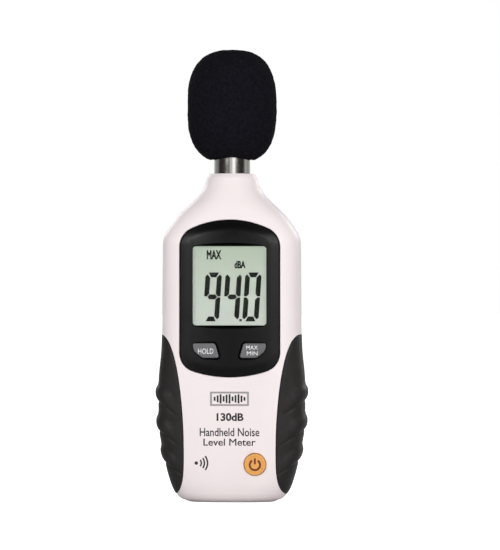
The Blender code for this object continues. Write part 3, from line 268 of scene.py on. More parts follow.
BOARD = Look("solder_mask", (0.012, 0.12, 0.05), 0.3, Coat_Weight=0.3, Coat_Roughness=0.2)
tracks = BOARD.node("ShaderNodeTexBrick", {
    "Vector": BOARD.node("ShaderNodeMapping", {
        "Vector": BOARD.position, "Rotation": (math.radians(90), 0, 0), "Scale": (900, 900, 900),
    }).outputs[0],
    "Scale": 1.0, "Mortar Size": 0.06, "Brick Width": 2.6, "Row Height": 1.1,
})
BOARD.tint(tracks.outputs["Fac"], (0.03, 0.22, 0.10))
BOARD.vary(0.9 * MM, (0.010, 0.095, 0.04), 0.8, detail=5)
BOARD.bump(tracks.outputs["Fac"], 0.03 * MM)

CELL = Look("cell_wrap", (0.025, 0.05, 0.115), 0.28, Coat_Weight=0.3, Coat_Roughness=0.1)
CELL.vary(3 * MM, (0.02, 0.04, 0.09), 0.8)
CELL.bump(CELL.noise(2.5 * MM, 2), 0.02 * MM)
CELL_BAND = plated("cell_copper_band", (0.72, 0.44, 0.22), 0.25, (6, 6, 1), 0.2 * MM)
CELL_END = plated("cell_end", (0.63, 0.63, 0.61), 0.24)


# ---------------------------------------------------------------- building blocks

def monotone(table, column, height):
    """A column of a table at heights in mm, on a cubic that never overshoots between its rows."""
    z, v = table[:, 0], table[:, column]
    height = np.clip(np.asarray(height, float), z[0], z[-1])
    slope = np.diff(v) / np.diff(z)
    product = slope[:-1] * slope[1:]
    total = np.where(slope[:-1] + slope[1:] == 0, 1, slope[:-1] + slope[1:])
    inner = np.where(product > 0, 2 * product / total, 0)
    tangent = np.concatenate([slope[:1], inner, slope[-1:]])
    i = np.clip(np.searchsorted(z, height, side="right") - 1, 0, len(z) - 2)
    span = z[i + 1] - z[i]
    t = (height - z[i]) / span
    return (v[i] * (1 + 2 * t) * (1 - t) ** 2 + tangent[i] * span * t * (1 - t) ** 2
            + v[i + 1] * t**2 * (3 - 2 * t) + tangent[i + 1] * span * t**2 * (t - 1))


def case_size(height):
    return [monotone(CASE, column, height) for column in (1, 2, 3)]


def surface(x, height):
    """How far the case's outer surface is from the parting plane at (x, height), all in mm."""
    a, b, n = case_size(height)
    return b * np.clip(1 - (np.abs(x) / a) ** n, 0, 1) ** (1 / n)


def flank(a, b, n):
    """Right-hand half of a section, from the front centre to the rear centre: x, y and arc length, in mm."""
    angle = np.linspace(-math.pi / 2, math.pi / 2, 961)
    cos, sin = np.abs(np.cos(angle)), np.sin(angle)
    x = a * cos ** (2 / n)
    y = b * np.sign(sin) * np.abs(sin) ** (2 / n)
    x[0] = x[-1] = 0.0
    return x, y, np.concatenate([[0], np.cumsum(np.hypot(np.diff(x), np.diff(y)))])


def section(a, b, n, height, count=144):
    """A closed ring of evenly spaced points, in metres."""
    x, y, length = flank(a, b, n)
    at = np.linspace(0, length[-1], count // 2 + 1)
    half = np.stack([np.interp(at, length, x), np.interp(at, length, y)], 1)
    ring = np.concatenate([half, half[-2:0:-1] * (-1, 1)])
    return np.column_stack([ring, np.full(len(ring), height)]) * MM


def case_ring(height, side=0.0, depth=None, squareness=None, count=144):
    a, b, n = (float(v) for v in case_size(height))
    depth = side if depth is None else depth
    return section(a - side, b - depth, squareness or n, height, count)


def new_object(name, data, look=None):
    obj = bpy.data.objects.new(name, data)
    bpy.context.scene.collection.objects.link(obj)
    if look:
        data.materials.append(look.material)
    return obj


def mesh_object(name, verts, faces, look=None):
    mesh = bpy.data.meshes.new(name)
    mesh.from_pydata([tuple(v) for v in verts], [], faces)
    return new_object(name, mesh, look)


@contextmanager
def editing(mesh):
    """Opens a mesh for bmesh operations and writes it back."""
    bm = bmesh.new()
    bm.from_mesh(mesh)
    yield bm
    bm.to_mesh(mesh)
    bm.free()


def outward(obj):
    with editing(obj.data) as bm:
        bmesh.ops.recalc_face_normals(bm, faces=bm.faces)
    return obj


def walls(count, levels, closed=False):
    """Quads between rings of count points. closed also joins the last ring to the first."""
    faces = []
    for ring in range(levels if closed else levels - 1):
        a, b = ring * count, (ring + 1) % levels * count
        faces += [(a + i, a + (i + 1) % count, b + (i + 1) % count, b + i) for i in range(count)]
    return faces


def skin(name, rings, look=None):
    """A surface through rings of equal length, closed at both ends."""
    count, verts = len(rings[0]), np.concatenate(rings)
    faces = walls(count, len(rings))
    faces.append(tuple(range(count))[::-1])
    faces.append(tuple(range(len(verts) - count, len(verts))))
    return outward(mesh_object(name, verts, faces, look))


def smooth(obj, angle=32):
    obj.data.shade_smooth()
    obj.data.set_sharp_from_angle(angle=math.radians(angle))
    return obj


def ruffle(mesh, layers, count):
    """Moves the first vertices along their normals by layers of noise, each (size, height) in mm."""
    normals = [vert.normal.copy() for vert in mesh.vertices[:count]]
    for vert, normal in zip(mesh.vertices[:count], normals):
        p = vert.co.copy()
        vert.co = p + normal * sum(noise.noise(p / (size * MM)) * height for size, height in layers) * MM


def carve(target, *steps):
    """Applies Boolean steps of (operation, object) and removes the tools."""
    for operation, tool in steps:
        modifier = target.modifiers.new(operation, "BOOLEAN")
        modifier.operation = operation
        modifier.object = tool
        modifier.solver = "MANIFOLD"
    graph = bpy.context.evaluated_depsgraph_get()
    mesh = bpy.data.meshes.new_from_object(target.evaluated_get(graph))
    target.modifiers.clear()
    target.data = mesh
    for tool in {tool for _, tool in steps}:
        bpy.data.objects.remove(tool)
    return target


def less(*tools):
    return [("DIFFERENCE", tool) for tool in tools]


def plus(*tools):
    return [("UNION", tool) for tool in tools]


def block(name, x, y, z, look=None):
    """A box from its ranges in mm."""
    corners = [(a * MM, b * MM, c * MM) for c in z for b in y for a in x]
    faces = [(0, 2, 3, 1), (4, 5, 7, 6), (0, 1, 5, 4), (2, 6, 7, 3), (0, 4, 6, 2), (1, 3, 7, 5)]
    return mesh_object(name, corners, faces, look)


def bar(name, x, y, z, radius, look):
    """A box with rounded edges."""
    obj = block(name, x, y, z, look)
    with editing(obj.data) as bm:
        bmesh.ops.bevel(bm, geom=bm.edges[:], offset=radius * MM, segments=2, profile=0.5, affect="EDGES")
    return smooth(obj, 50)


def lathe(name, profile, look=None, steps=96, centre=(0, 0, 0), axis="Z", closed=False):
    """A solid of revolution from (radius, height) pairs in mm, top to bottom."""
    turn = np.linspace(0, 2 * math.pi, steps, endpoint=False)
    rings = [np.stack([r * np.cos(turn), r * np.sin(turn), np.full(steps, h)], 1) for r, h in profile]
    points = np.concatenate(rings)
    if axis != "Z":
        points = points[:, (0, 2, 1)] * ((1, -1, 1) if axis == "-Y" else (1, 1, -1))
    points = (points + np.array(centre)) * MM
    faces = walls(steps, len(profile), closed)
    if not closed:
        faces.append(tuple(range(steps)))
        faces.append(tuple(range(len(points) - steps, len(points)))[::-1])
    obj = mesh_object(name, points, faces, look)
    with editing(obj.data) as bm:
        bmesh.ops.remove_doubles(bm, verts=bm.verts, dist=0.001 * MM)
        bmesh.ops.recalc_face_normals(bm, faces=bm.faces)
    return smooth(obj)


def level(outline, y):
    """An outline of (x, height) at a depth, all in mm, as a ring in metres."""
    return np.array([(x, y, z) for x, z in outline]) * MM


def prism(name, outline, y, look=None, flare=None):
    """An outline extruded from y[0] to y[1]. flare is a wider front outline and where it narrows."""
    rings = [level(outline, y[0]), level(outline, y[1])]
    if flare:
        wide, start, end = flare
        rings = [level(wide, y[0]), level(wide, start), level(outline, end), level(outline, y[1])]
    return skin(name, rings, look)


# ---------------------------------------------------------------- outlines, all in mm

def arc(centre, radius, start, end, steps):
    angles = [math.radians(start + (end - start) * i / steps) for i in range(steps + 1)]
    return [(centre[0] + radius * math.cos(a), centre[1] + radius * math.sin(a)) for a in angles]


def rounded(corners, steps=7):
    """An anticlockwise outline whose corners (x, height, radius) are arcs."""
    outline = []
    for i, (x, z, radius) in enumerate(corners):
        here = Vector((x, z))
        before = (Vector(corners[i - 1][:2]) - here).normalized()
        after = (Vector(corners[(i + 1) % len(corners)][:2]) - here).normalized()
        half = before.angle(after) / 2
        centre = here + (before + after).normalized() * radius / math.sin(half)
        start = here + before * radius / math.tan(half) - centre
        first = math.degrees(math.atan2(start.y, start.x))
        outline += arc(centre, radius, first, first + 180 - math.degrees(2 * half), steps)
    return outline


def grown(outline, distance):
    """A convex anticlockwise outline moved outwards."""
    points = np.array(outline)
    before = points - np.roll(points, 1, 0)
    after = np.roll(points, -1, 0) - points
    normal = [np.stack([d[:, 1], -d[:, 0]], 1) / np.linalg.norm(d, axis=1)[:, None] for d in (before, after)]
    outwards = normal[0] + normal[1]
    outwards /= np.linalg.norm(outwards, axis=1)[:, None]
    return [tuple(p) for p in points + outwards * distance]


def rectangle(half, low, high, corner=1.1, steps=7):
    corners = [(-half, low), (half, low), (half, high), (-half, high)]
    return rounded([(x, z, corner) for x, z in corners], steps)


def bezel_outline(offset=0.0):
    """The bezel: a large arc at the top and bottom, joined to straight sides by smaller ones."""
    half, heights, ends = BEZEL_HALF + offset, [], []
    for side, first, apex, radius, corner in ((1, 0, 98.7, 32.0, 7.2), (-1, 180, 43.9, 42.0, 6.9)):
        radius, corner = radius + offset, corner + offset
        centre = apex + side * (offset - radius)
        x, reach = half - corner, radius - corner
        z = centre + side * math.sqrt(reach**2 - x**2)
        turn = math.degrees(math.acos(x / reach))
        heights.append(z)
        ends.append(
            arc((side * x, z), corner, first, first + turn, 16)
            + arc((0, centre), radius, first + turn, first + 180 - turn, 24)[1:-1]
            + arc((-side * x, z), corner, first + 180 - turn, first + 180, 16)
        )
    top, bottom = heights
    straight = [bottom + (top - bottom) * i / 16 for i in range(1, 16)]
    return [(half, z) for z in straight] + ends[0] + [(-half, z) for z in reversed(straight)] + ends[1]


def key_outline(side, offset=0.0):
    outline = grown(rounded(KEY_CORNERS), offset)
    return outline if side > 0 else [(-x, z) for x, z in reversed(outline)]


def place(obj, body, *nodes, slot=None):
    """Puts a piece on a body, in place of CAD nodes. slot is not used."""
    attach(obj, body)
    if nodes:
        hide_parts(*nodes)
    return obj


# ---------------------------------------------------------------- grips

GRIP_WAIST, GRIP_ABOVE, GRIP_BELOW = 19.0, 39.8, 17.4      # height of its waist, and its length from there
GRIP_SIDE, GRIP_WRAP = 25.2, 9.2        # x of its ends, and how far it comes in from there at its waist
GRIP_KNOBS = ((38.6, 1.0), (28.25, 0.85), (17.3, 0.9))      # height, rise
GRIP_REAR = 0.72        # how far the grip reaches on the rear, as a share of the front
GRIP_TUCK = 0.45        # how deep its rounded edge starts under the case's surface


def grip_edge(height, share, margin=0.0):
    """x of the grip's edge at a height. share is 1 on the front face."""
    above = height > GRIP_WAIST
    away = np.abs(height - GRIP_WAIST) / (np.where(above, GRIP_ABOVE, GRIP_BELOW) + margin)
    away = np.clip(away, 0, 1)
    reach = np.where(above, np.clip(1 - away**1.8, 0, 1) ** 0.42, np.clip(1 - away**4.0, 0, 1) ** 0.3)
    return GRIP_SIDE - GRIP_WRAP * share * reach - margin


def grip_ends(margin):
    """Lowest and highest height at which the grip has any width."""
    heights = np.linspace(1.5, 60.0, 6001)
    inside = grip_edge(heights, 1.0, margin) < case_size(heights)[0] - 0.02
    return heights[inside][0], heights[inside][-1]


def ease(value, low, high):
    t = np.clip((value - low) / (high - low), 0, 1)
    return t * t * (3 - 2 * t)


def grip_swell(height, inward):
    """How far the grip stands out from the case: its belly, three finger knobs and the creases under them."""
    belly = 0.2 + 0.65 * np.exp(-(((height - 33) / 14.0) ** 4)) - 0.1 * ease(height, 47, 54)
    swell = 0.2 + (belly - 0.2) * (1 - ease(inward, 0.5, 5.0))
    for centre, rise in GRIP_KNOBS:
        across = height - centre + 0.75 * inward
        shape = np.exp(-(np.abs(across / np.where(across > 0, 2.2, 2.6)) ** 3))
        swell = swell + rise * shape * (1 - ease(inward, 0.8, 6.0))
        crease = np.exp(-(((across + 3.3) / 0.5) ** 2))
        swell = swell - 0.34 * crease * (1 - ease(inward, 3.4, 7.4))
    return swell


def grip_grid(margin, rows, columns, inner, outer=None):
    """Rows of points over the grip's patch. outer is a fixed height above the case, or None for its shape."""
    low, high = grip_ends(margin)
    middle, reach = (low + high) / 2, (high - low) / 2
    t = np.linspace(-1, 1, rows)
    heights = middle + reach * (np.sin(t * math.pi / 2) * 0.75 + t * 0.25)
    heights[0], heights[-1] = low, high
    u = np.linspace(-1, 1, columns)
    u = (0.5 * np.sin(u * math.pi / 2) + 0.5 * u + 1) / 2
    tops, floors = [], []
    for height in heights:
        a, b, n = (float(v) for v in case_size(height))
        x, y, length = flank(a, b, n)
        half = len(x) // 2
        start = np.interp(float(grip_edge(height, 1.0, margin)), x[:half + 1], length[:half + 1])
        stop = np.interp(float(grip_edge(height, GRIP_REAR, margin)), x[half:][::-1], length[half:][::-1])
        at = start + (stop - start) * u
        px, py = np.interp(at, length, x), np.interp(at, length, y)
        normal_x = np.abs(px / a) ** (n - 1) / a
        normal_y = np.sign(py) * np.abs(py / b) ** (n - 1) / b
        size = np.hypot(normal_x, normal_y)
        normal_x, normal_y = normal_x / size, normal_y / size
        tops.append(np.stack([px, py, np.full(columns, height), normal_x, normal_y, a - px], 1))
        sink = np.interp(height, GRIP_FLOOR[:, 0], GRIP_FLOOR[:, 1]) - inner
        floors.append(np.stack([px - normal_x * sink, py - normal_y * sink, np.full(columns, height)], 1))
    tops, floors = np.array(tops), np.array(floors)
    points = tops[..., :3]
    if outer is None:
        rim = np.concatenate([points[0], points[-1], points[:, 0], points[:, -1]])
        distance = np.array([np.sqrt(((rim - p) ** 2).sum(1).min()) for p in points.reshape(-1, 3)])
        edge = np.clip(distance.reshape(points.shape[:2]), 0, 1)
        full = grip_swell(tops[..., 2], tops[..., 5])
        swell = -GRIP_TUCK + (full + GRIP_TUCK) * np.sqrt(1 - (1 - edge) ** 2)
    else:
        swell = np.full(points.shape[:2], float(outer))
    raised = points.copy()
    raised[..., :2] += tops[..., 3:5] * swell[..., None]
    return raised, floors


def patch_solid(name, top, floor, side, look=None):
    """A closed solid between two grids of points."""
    rows, columns = top.shape[:2]
    verts = np.concatenate([top.reshape(-1, 3), floor.reshape(-1, 3)]) * (side * MM, MM, MM)
    below = rows * columns
    faces = []
    for r in range(rows - 1):
        for c in range(columns - 1):
            a = r * columns + c
            quad = (a, a + 1, a + columns + 1, a + columns)
            faces.append(quad)
            faces.append(tuple(below + i for i in reversed(quad)))
    rim = list(range(columns))
    rim += [r * columns + columns - 1 for r in range(1, rows)]
    rim += [(rows - 1) * columns + c for c in range(columns - 2, -1, -1)]
    rim += [r * columns for r in range(rows - 2, 0, -1)]
    for i, a in enumerate(rim):
        b = rim[(i + 1) % len(rim)]
        faces.append((b, a, below + a, below + b))
    return outward(mesh_object(name, verts, faces, look))


def make_grips():
    top, floor = grip_grid(-0.1, 190, 110, 0.12)
    for side, name in ((-1, "left"), (1, "right")):
        grip = patch_solid(f"{name}_side_grip", top, floor, side, GRIP)
        place(smooth(grip, 60), "case", f"{name}_grip", slot="grip_rubber")


def pocket_cutter(side):
    top, floor = grip_grid(0.0, 90, 60, 0.0, outer=3.0)
    return patch_solid("pocket_cutter", top, floor, side)


# ---------------------------------------------------------------- case

# Heights of the rings, closer together where the outline turns.
LEVELS = np.concatenate([
    np.arange(0, 4, 0.4), np.arange(4, 14, 1.0), np.arange(14, 88, 3.0), np.arange(88, 113, 0.9),
    np.arange(113, 115.01, 0.25),
])
CAVITY_LEVELS = np.concatenate([np.arange(2.2, 6, 0.8), np.arange(6, 90, 6.0), np.arange(90, 101.6, 1.9)])


def case_solid(name, inset=0.0, look=None, count=144):
    return skin(name, [case_ring(z, inset, count=count) for z in LEVELS], look)


def cavity_solid():
    rings = []
    for z in CAVITY_LEVELS:
        side, depth, squareness = (float(monotone(CAVITY, c, z)) for c in (1, 2, 3))
        rings.append(case_ring(z, side, depth, squareness, 64))
    return skin("cavity", rings)


def posts(places, radius, y, steps=40):
    """Round tools along Y."""
    profile = [(radius, -y[0]), (radius, -y[1])]
    return [lathe("post", profile, steps=steps, centre=(x, 0, z), axis="-Y") for x, z in places]


def wall_posts(places, radius, y):
    """Posts that end inside the case's wall."""
    tools = posts(places, radius, y)
    return [carve(tool, ("INTERSECT", case_solid("inside", 0.8, count=72))) for tool in tools]


def lip(inset, y):
    """A slice of the case at its parting line, for the front half's tongue or its room in the rear half."""
    return carve(case_solid("lip", inset, count=72), ("INTERSECT", block("lip_depth", WIDE, y, TALL)))


def neck_bore():
    bore = NECK + 0.3
    return lathe("neck_bore", [(bore, 117), (bore, 106), (8.0, 106), (8.0, 104), (bore, 104), (bore, 100.6)])


def make_front_case():
    shell = case_solid("front_case", look=CASE_WHITE)
    x, z = SWITCHES["power"]
    face = float(surface(x, z))
    hole = [(5.0, 18.0), (4.5, face + 0.35), *arc((4.5, face - 0.5), 0.6, 90, 180, 6), (3.9, 9.0)]
    screws = CASE_SCREWS.values()
    tongue = carve(lip(0.8, (-0.6, 0.5)), *less(cavity_solid(), *posts(screws, 3.4, (-1, 2), 24)))
    carve(
        shell,
        ("INTERSECT", block("front_half", WIDE, (-30, -0.1), TALL)),
        *less(cavity_solid()),
        *plus(
            tongue, prism("seat", bezel_outline(1.5), (-12.35, -11.2)),
            *wall_posts(screws, 2.7, (-30, -0.1)), *wall_posts(BOARD_SCREWS, 2.1, (-30, BOARD_FRONT)),
        ),
        *less(
            prism("recess", bezel_outline(0.15), (-20, -12.6)),
            prism("opening", bezel_outline(-2.0), (-20, -8.5)),
            lathe("power_hole", hole, centre=(x, 0, z), axis="-Y"),
            *posts([(x, z)], 5.15, (-12.3, -8.0), 64),
            *posts(screws, 1.35, (-10.2, 1.0), 24),
            *posts(BOARD_SCREWS, 1.3, (-10.6, 0), 24),
            neck_bore(), pocket_cutter(-1), pocket_cutter(1),
        ),
    )
    place(smooth(shell, 34), "case", "front_shell", slot="case_plastic")


def make_rear_case():
    shell = case_solid("rear_case", look=CASE_WHITE)
    tray = block("tray", (-18.1, 18.1), (0.45, 30), (7.5, 61.7))
    carve(tray, ("INTERSECT", case_solid("inside", 0.8)))
    recess = block("recess", (-17.2, 17.2), (5, 30), (8.0, 61.2))
    carve(recess, *less(case_solid("door_floor", 2.1)))
    slots = [block("slot", (x - 2.2, x + 2.2), (10.0, 12.5), (6.6, 9.6)) for x in CELL_SEAMS]
    notches = [block("notch", (-12.5, -9.3), (-1, 2), (58.9, 60.05)),
               block("notch", (9.3, 12.5), (-1, 2), (9.15, 10.3))]
    screws = CASE_SCREWS.values()
    carve(
        shell,
        ("INTERSECT", block("rear_half", WIDE, (0.1, 30), TALL)),
        *less(cavity_solid(), lip(0.7, (-0.5, 0.6))),
        *plus(*wall_posts(screws, 3.2, (0.1, 30)), tray),
        *less(
            *slots, block("tray_inside", (-16.6, 16.6), (1.35, 30), (9.2, 60.0)), recess,
            *posts(screws, 2.3, (2.2, 30), 48), *posts(screws, 1.35, (-1, 3), 24),
            *notches, *posts([(CELL_SEAMS[1], 35.0)], 1.4, (-1, 3), 32),
            neck_bore(), pocket_cutter(-1), pocket_cutter(1),
        ),
    )
    cradles = [(x, z) for x in CELL_SEAMS for z in (20.0, 34.6, 49.0)]
    cradles.remove((CELL_SEAMS[1], 34.6))       # the trimmer's hole is there
    ribs = [block("cradle", (x - 0.35, x + 0.35), (1.0, 3.2), (z - 3, z + 3)) for x, z in cradles]
    carve(shell, *plus(*ribs))
    place(smooth(shell, 34), "case", "rear_shell", slot="case_plastic")


def make_door():
    """The battery door, with its hooks, latch tongue, thumb ribs and arrow."""
    door = case_solid("battery_cover", look=CASE_WHITE)
    hooks = []
    for x in CELL_SEAMS:
        hooks.append(block("hook", (x - 1.8, x + 1.8), (10.4, 12.9), (8.6, 10.2)))
        hooks.append(block("toe", (x - 1.8, x + 1.8), (10.4, 11.6), (7.0, 8.8)))
    slits = [block("slit", (x - 0.35, x + 0.35), (5, 30), (52.9, 90)) for x in (-4.5, 4.5)]
    ribs = []
    for i in range(4):
        z = 59.3 - 1.5 * i
        profile = [(14.2, z - 0.5), (14.2, z + 0.5), (14.5, z + 0.3), (14.58, z), (14.5, z - 0.3)]
        ribs.append(skin("rib", [np.array([(x, *p) for p in profile]) * MM for x in (-3.4, 3.4)]))
    carve(
        door,
        ("INTERSECT", block("limit", (-17.0, 17.0), (5, 30), (8.2, 61.0))),
        *less(case_solid("inside", 1.8)),
        *plus(*hooks), *less(*slits), *plus(*ribs),
    )
    arrow = [(-2.4, 46.5), (2.4, 46.5), (0.0, 42.6)]
    carve(door, *plus(prism("door_arrow", arrow, (14.2, 14.5), CASE_WHITE)))
    place(smooth(door, 34), "door", "battery_door", slot="case_plastic")


# ---------------------------------------------------------------- display

def crowned_rings(outline_at, back, offsets, inner, centre, top_y):
    """Rings of a lid: its back, its rim stepped inwards by offsets, and its top drawn to the centre."""
    rings = [level(outline_at(0), back)]
    last = np.array(outline_at(-offsets[-1]))
    tops = [(np.array(outline_at(-offset)), offset) for offset in offsets]
    tops += [(centre + (last - centre) * share, offsets[-1] + 5.0) for share in inner]
    for points, inset in tops:
        x, z = points.T
        rings.append(np.column_stack([x, top_y(x, z, np.full(len(x), inset)), z]) * MM)
    return rings


def rolled(inset, radius):
    """How far a lid's rounded rim lies under its top, at an inset from the edge."""
    return radius * (1 - np.sqrt(np.clip(1 - (1 - np.clip(inset / radius, 0, 1)) ** 2, 0, 1)))


def make_bezel():
    def top(x, z, inset):
        rim = surface(x, z) + 0.12
        crown = case_size(z)[1] + 1.1 - 1.8 * (x / BEZEL_HALF) ** 2
        return -(rim + (crown - rim) * ease(inset, 0.0, 3.6) - rolled(inset, 0.45))

    offsets = [0, 0.03, 0.1, 0.2, 0.32, 0.45, 0.7, 1.0, 1.4, 1.8, 2.3, 2.8, 3.4, 4.0]
    inner = [0.9, 0.78, 0.66, 0.54, 0.42, 0.3, 0.18, 0.08]
    rings = crowned_rings(bezel_outline, BEZEL_BACK, offsets, inner, np.array([0, 71.4]), top)
    bezel = skin("display_surround", rings, BEZEL_BLACK)
    # A thin second skin on the window's walls and sloped edge, in the duller black: painted shade in the
    # recess.
    shade_sheet = skin("window_painted_shade", rings, PAINTED_SHADE_BLACK)
    half, low, high = WINDOW

    def opening(name, margin, back):
        outline = rectangle(half + margin, low - margin, high + margin)
        return prism(name, outline, (-18, back), flare=(grown(outline, 1.1), -15.35, -14.3))

    rabbet = LENS[0] - 0.1
    carve(shade_sheet, ("INTERSECT", opening("shade_sheet", 0.05, rabbet)), *less(opening("clear", 0, 0)))
    place(smooth(shade_sheet, 34), "case", slot="bezel_plastic")
    cutters = [
        opening("window", 0.05, 0),
        prism("rabbet", rectangle(half + 1.3, low - 1.3, high + 1.3, 0.4), (rabbet, 0)),
    ]
    for side in (-1, 1):
        wide = key_outline(side, 0.75)
        cutters.append(prism("key_hole", key_outline(side, 0.22), (-18, 0), flare=(wide, -15.3, -14.4)))
    carve(bezel, *less(*cutters))
    place(smooth(bezel, 34), "case", "display_bezel", slot="bezel_plastic")


def make_window():
    outline = rectangle(13.9, 60.9, 90.9, 0.5)
    front, back = LENS
    rings = [level(grown(outline, -inset), y) for inset, y in ((0.0, back), (0.0, front + 0.1), (0.1, front))]
    lens = skin("display_window", rings, CLEAR)
    lens.visible_shadow = False
    place(smooth(lens, 20), "case", "window_lens", slot="clear_window")


def print_y(x, z, flat):
    """y of a print at (x, z) in mm: just proud of the case's front, or on a plane at y = flat."""
    return -float(surface(x, z)) - 0.02 if flat is None else flat


def plates(name, outlines, look, flat=None, thickness=PRINT_THICKNESS):
    """One object of thin plates with outlines in mm, on the case's front or on a plane at y = flat."""
    verts, faces = [], []
    for outline in outlines:
        count, first = len(outline), len(verts)
        front = [(x, print_y(x, z, flat), z) for x, z in outline]
        verts += front + [(x, y + thickness, z) for x, y, z in front]
        edge = range(first, first + count)
        faces += [tuple(edge), tuple(i + count for i in reversed(edge))]
        faces += [(i, i + count, j + count, j) for i, j in zip(edge, [*edge[1:], first])]
    return outward(mesh_object(name, np.array(verts) * MM, faces, look))


def lettering(name, words, x, z, look, flat=None, bold=0.0, body="case"):
    """Text scaled into a box in mm, on the case's front or on a plane at y = flat. It rides on a body."""
    curve = bpy.data.curves.new(name, "FONT")
    curve.body = words
    curve.size = 1.0
    curve.offset = bold
    curve.resolution_u = 4
    text = new_object(name, curve)
    graph = bpy.context.evaluated_depsgraph_get()
    mesh = bpy.data.meshes.new_from_object(text.evaluated_get(graph))
    bpy.data.objects.remove(text)
    with editing(mesh) as bm:
        bmesh.ops.remove_doubles(bm, verts=bm.verts, dist=0.0001)
        bmesh.ops.dissolve_limit(bm, angle_limit=0.01, verts=bm.verts, edges=bm.edges)
        bmesh.ops.triangulate(bm, faces=bm.faces)
        co = np.array([v.co for v in bm.verts])
        low, high = co.min(0), co.max(0)
        for vert in bm.verts:
            px = x[0] + (vert.co.x - low[0]) / (high[0] - low[0]) * (x[1] - x[0])
            pz = z[0] + (vert.co.y - low[1]) / (high[1] - low[1]) * (z[1] - z[0])
            vert.co = (px * MM, print_y(px, pz, flat) * MM, pz * MM)
        lifted = bmesh.ops.extrude_face_region(bm, geom=bm.faces[:])
        moved = [g for g in lifted["geom"] if isinstance(g, bmesh.types.BMVert)]
        bmesh.ops.translate(bm, vec=(0, PRINT_THICKNESS * MM, 0), verts=moved)
        bmesh.ops.recalc_face_normals(bm, faces=bm.faces)
    return place(new_object(name, mesh, look), body)


# A seven-segment digit: its size, the width of a segment, the gap between segments, and the slant.
DIGIT_WIDTH, DIGIT_LOW, DIGIT_HIGH = 5.7, 63.3, 80.35
SEGMENT_WIDTH, SEGMENT_GAP = 1.7, 0.15
DIGIT_SLANT = math.tan(math.radians(3.9))
LIT = {"9": "abcdfg", "4": "bcfg", "0": "abcdef"}


def mirrored(outline, x, z):
    """An outline turned over along the axes whose factor is -1, with its direction kept."""
    points = [(px * x, pz * z) for px, pz in outline]
    return points if x == z else points[:1] + points[:0:-1]


def digit_outlines(character, left):
    """The lit segments of a digit. Each is laid out round the digit's centre."""
    t, g = SEGMENT_WIDTH, SEGMENT_GAP
    w, h, half = DIGIT_WIDTH / 2, (DIGIT_HIGH - DIGIT_LOW) / 2, SEGMENT_WIDTH / 2
    top = [(0.55 * t + g - w, h), (w - 0.55 * t - g, h), (w - t - 1.4 * g, h - t), (t + 1.4 * g - w, h - t)]
    middle = [(0.6 * t + g - w, 0), (t + g - w, half), (w - t - g, half),
              (w - 0.6 * t - g, 0), (w - t - g, -half), (t + g - w, -half)]
    upper_left = [(-w, h - 0.8 * t), (0.4 * t - w, h - 0.4 * t), (t - w, h - t - g),
                  (t - w, half + 1.2 * g), (0.55 * t - w, g), (-w, 1.5 * g)]
    segments = {"a": top, "d": mirrored(top, 1, -1), "g": middle, "f": upper_left}
    for name, x, z in (("b", -1, 1), ("e", 1, -1), ("c", -1, -1)):
        segments[name] = mirrored(upper_left, x, z)
    for name in LIT[character]:
        yield [(left + w + x + z * DIGIT_SLANT, DIGIT_LOW + h + z) for x, z in segments[name]]


def make_display():
    panel = bar("display_panel", (-14.6, 14.6), (GLASS_FRONT, -9.9), (60.4, 91.4), 0.15, LCD)
    place(panel, "case", "lcd_glass", slot="display_glass")
    y = GLASS_FRONT - 0.12
    outlines = []
    for character, left in (("9", -8.95), ("4", -1.98), ("0", 4.9)):
        outlines += digit_outlines(character, left)
    outlines.append([(3.35, 63.3), (4.2, 63.3), (4.2, 64.15), (3.35, 64.15)])
    reading = plates("display_reading", outlines, SEGMENT, flat=y, thickness=0.06)
    place(reading, "case", slot="display_glass")
    lettering("display_max", "MAX", (-8.05, -2.9), (84.9, 88.15), SEGMENT, flat=y, bold=0.04)
    lettering("display_unit", "dBA", (1.65, 5.5), (81.75, 84.4), SEGMENT, flat=y, bold=0.04)


def strip(points, width):
    """An outline round a polyline."""
    points = np.array(points, float)
    along = np.gradient(points, axis=0)
    along /= np.linalg.norm(along, axis=1)[:, None]
    normal = np.stack([-along[:, 1], along[:, 0]], 1) * width / 2
    return [tuple(p) for p in np.concatenate([points + normal, (points - normal)[::-1]])]


def make_print():
    """Neutral markings in the places where the meter carries its print."""
    lettering("print_range", "130dB", (-4.5, 4.9), (28.6, 31.4), PRINT_BLACK, bold=0.034)
    lettering("print_line_1", "Handheld Noise", (-10.4, 10.4), (23.3, 26.2), PRINT_BLACK, bold=0.012)
    lettering("print_line_2", "Level Meter", (-9.1, 9.1), (20.0, 22.5), PRINT_BLACK, bold=0.012)
    centre = (-11.6, 13.95)
    waves = [arc(centre, 0.62, 0, 345, 22)]
    waves += [strip(arc(centre, radius, -38, 38, 14), 0.55) for radius in (1.75, 2.85, 3.95)]
    place(plates("print_waves", waves, PRINT_BLACK), "case")
    outer, inner = rectangle(6.8, 33.85, 38.85, 0.25, 2), rectangle(6.1, 34.5, 38.2, 0.1, 2)
    border = [[outer[i - 1], outer[i], inner[i], inner[i - 1]] for i in [*range(1, len(outer)), 0]]
    place(plates("plate_frame", border, PRINT_GREY), "case")
    bars = []
    for i, share in enumerate((0.45, 0.75, 1.0, 0.6, 0.9, 1.0, 0.5, 0.8, 1.0, 0.7, 0.4)):
        left, low, high = -5.5 + i * 1.04, 36.35 - 1.6 * share, 36.35 + 1.6 * share
        bars.append([(left, low), (left + 0.66, low), (left + 0.66, high), (left, high)])
    place(plates("plate_bars", bars, PRINT_BLACK), "case")


# ---------------------------------------------------------------- keys

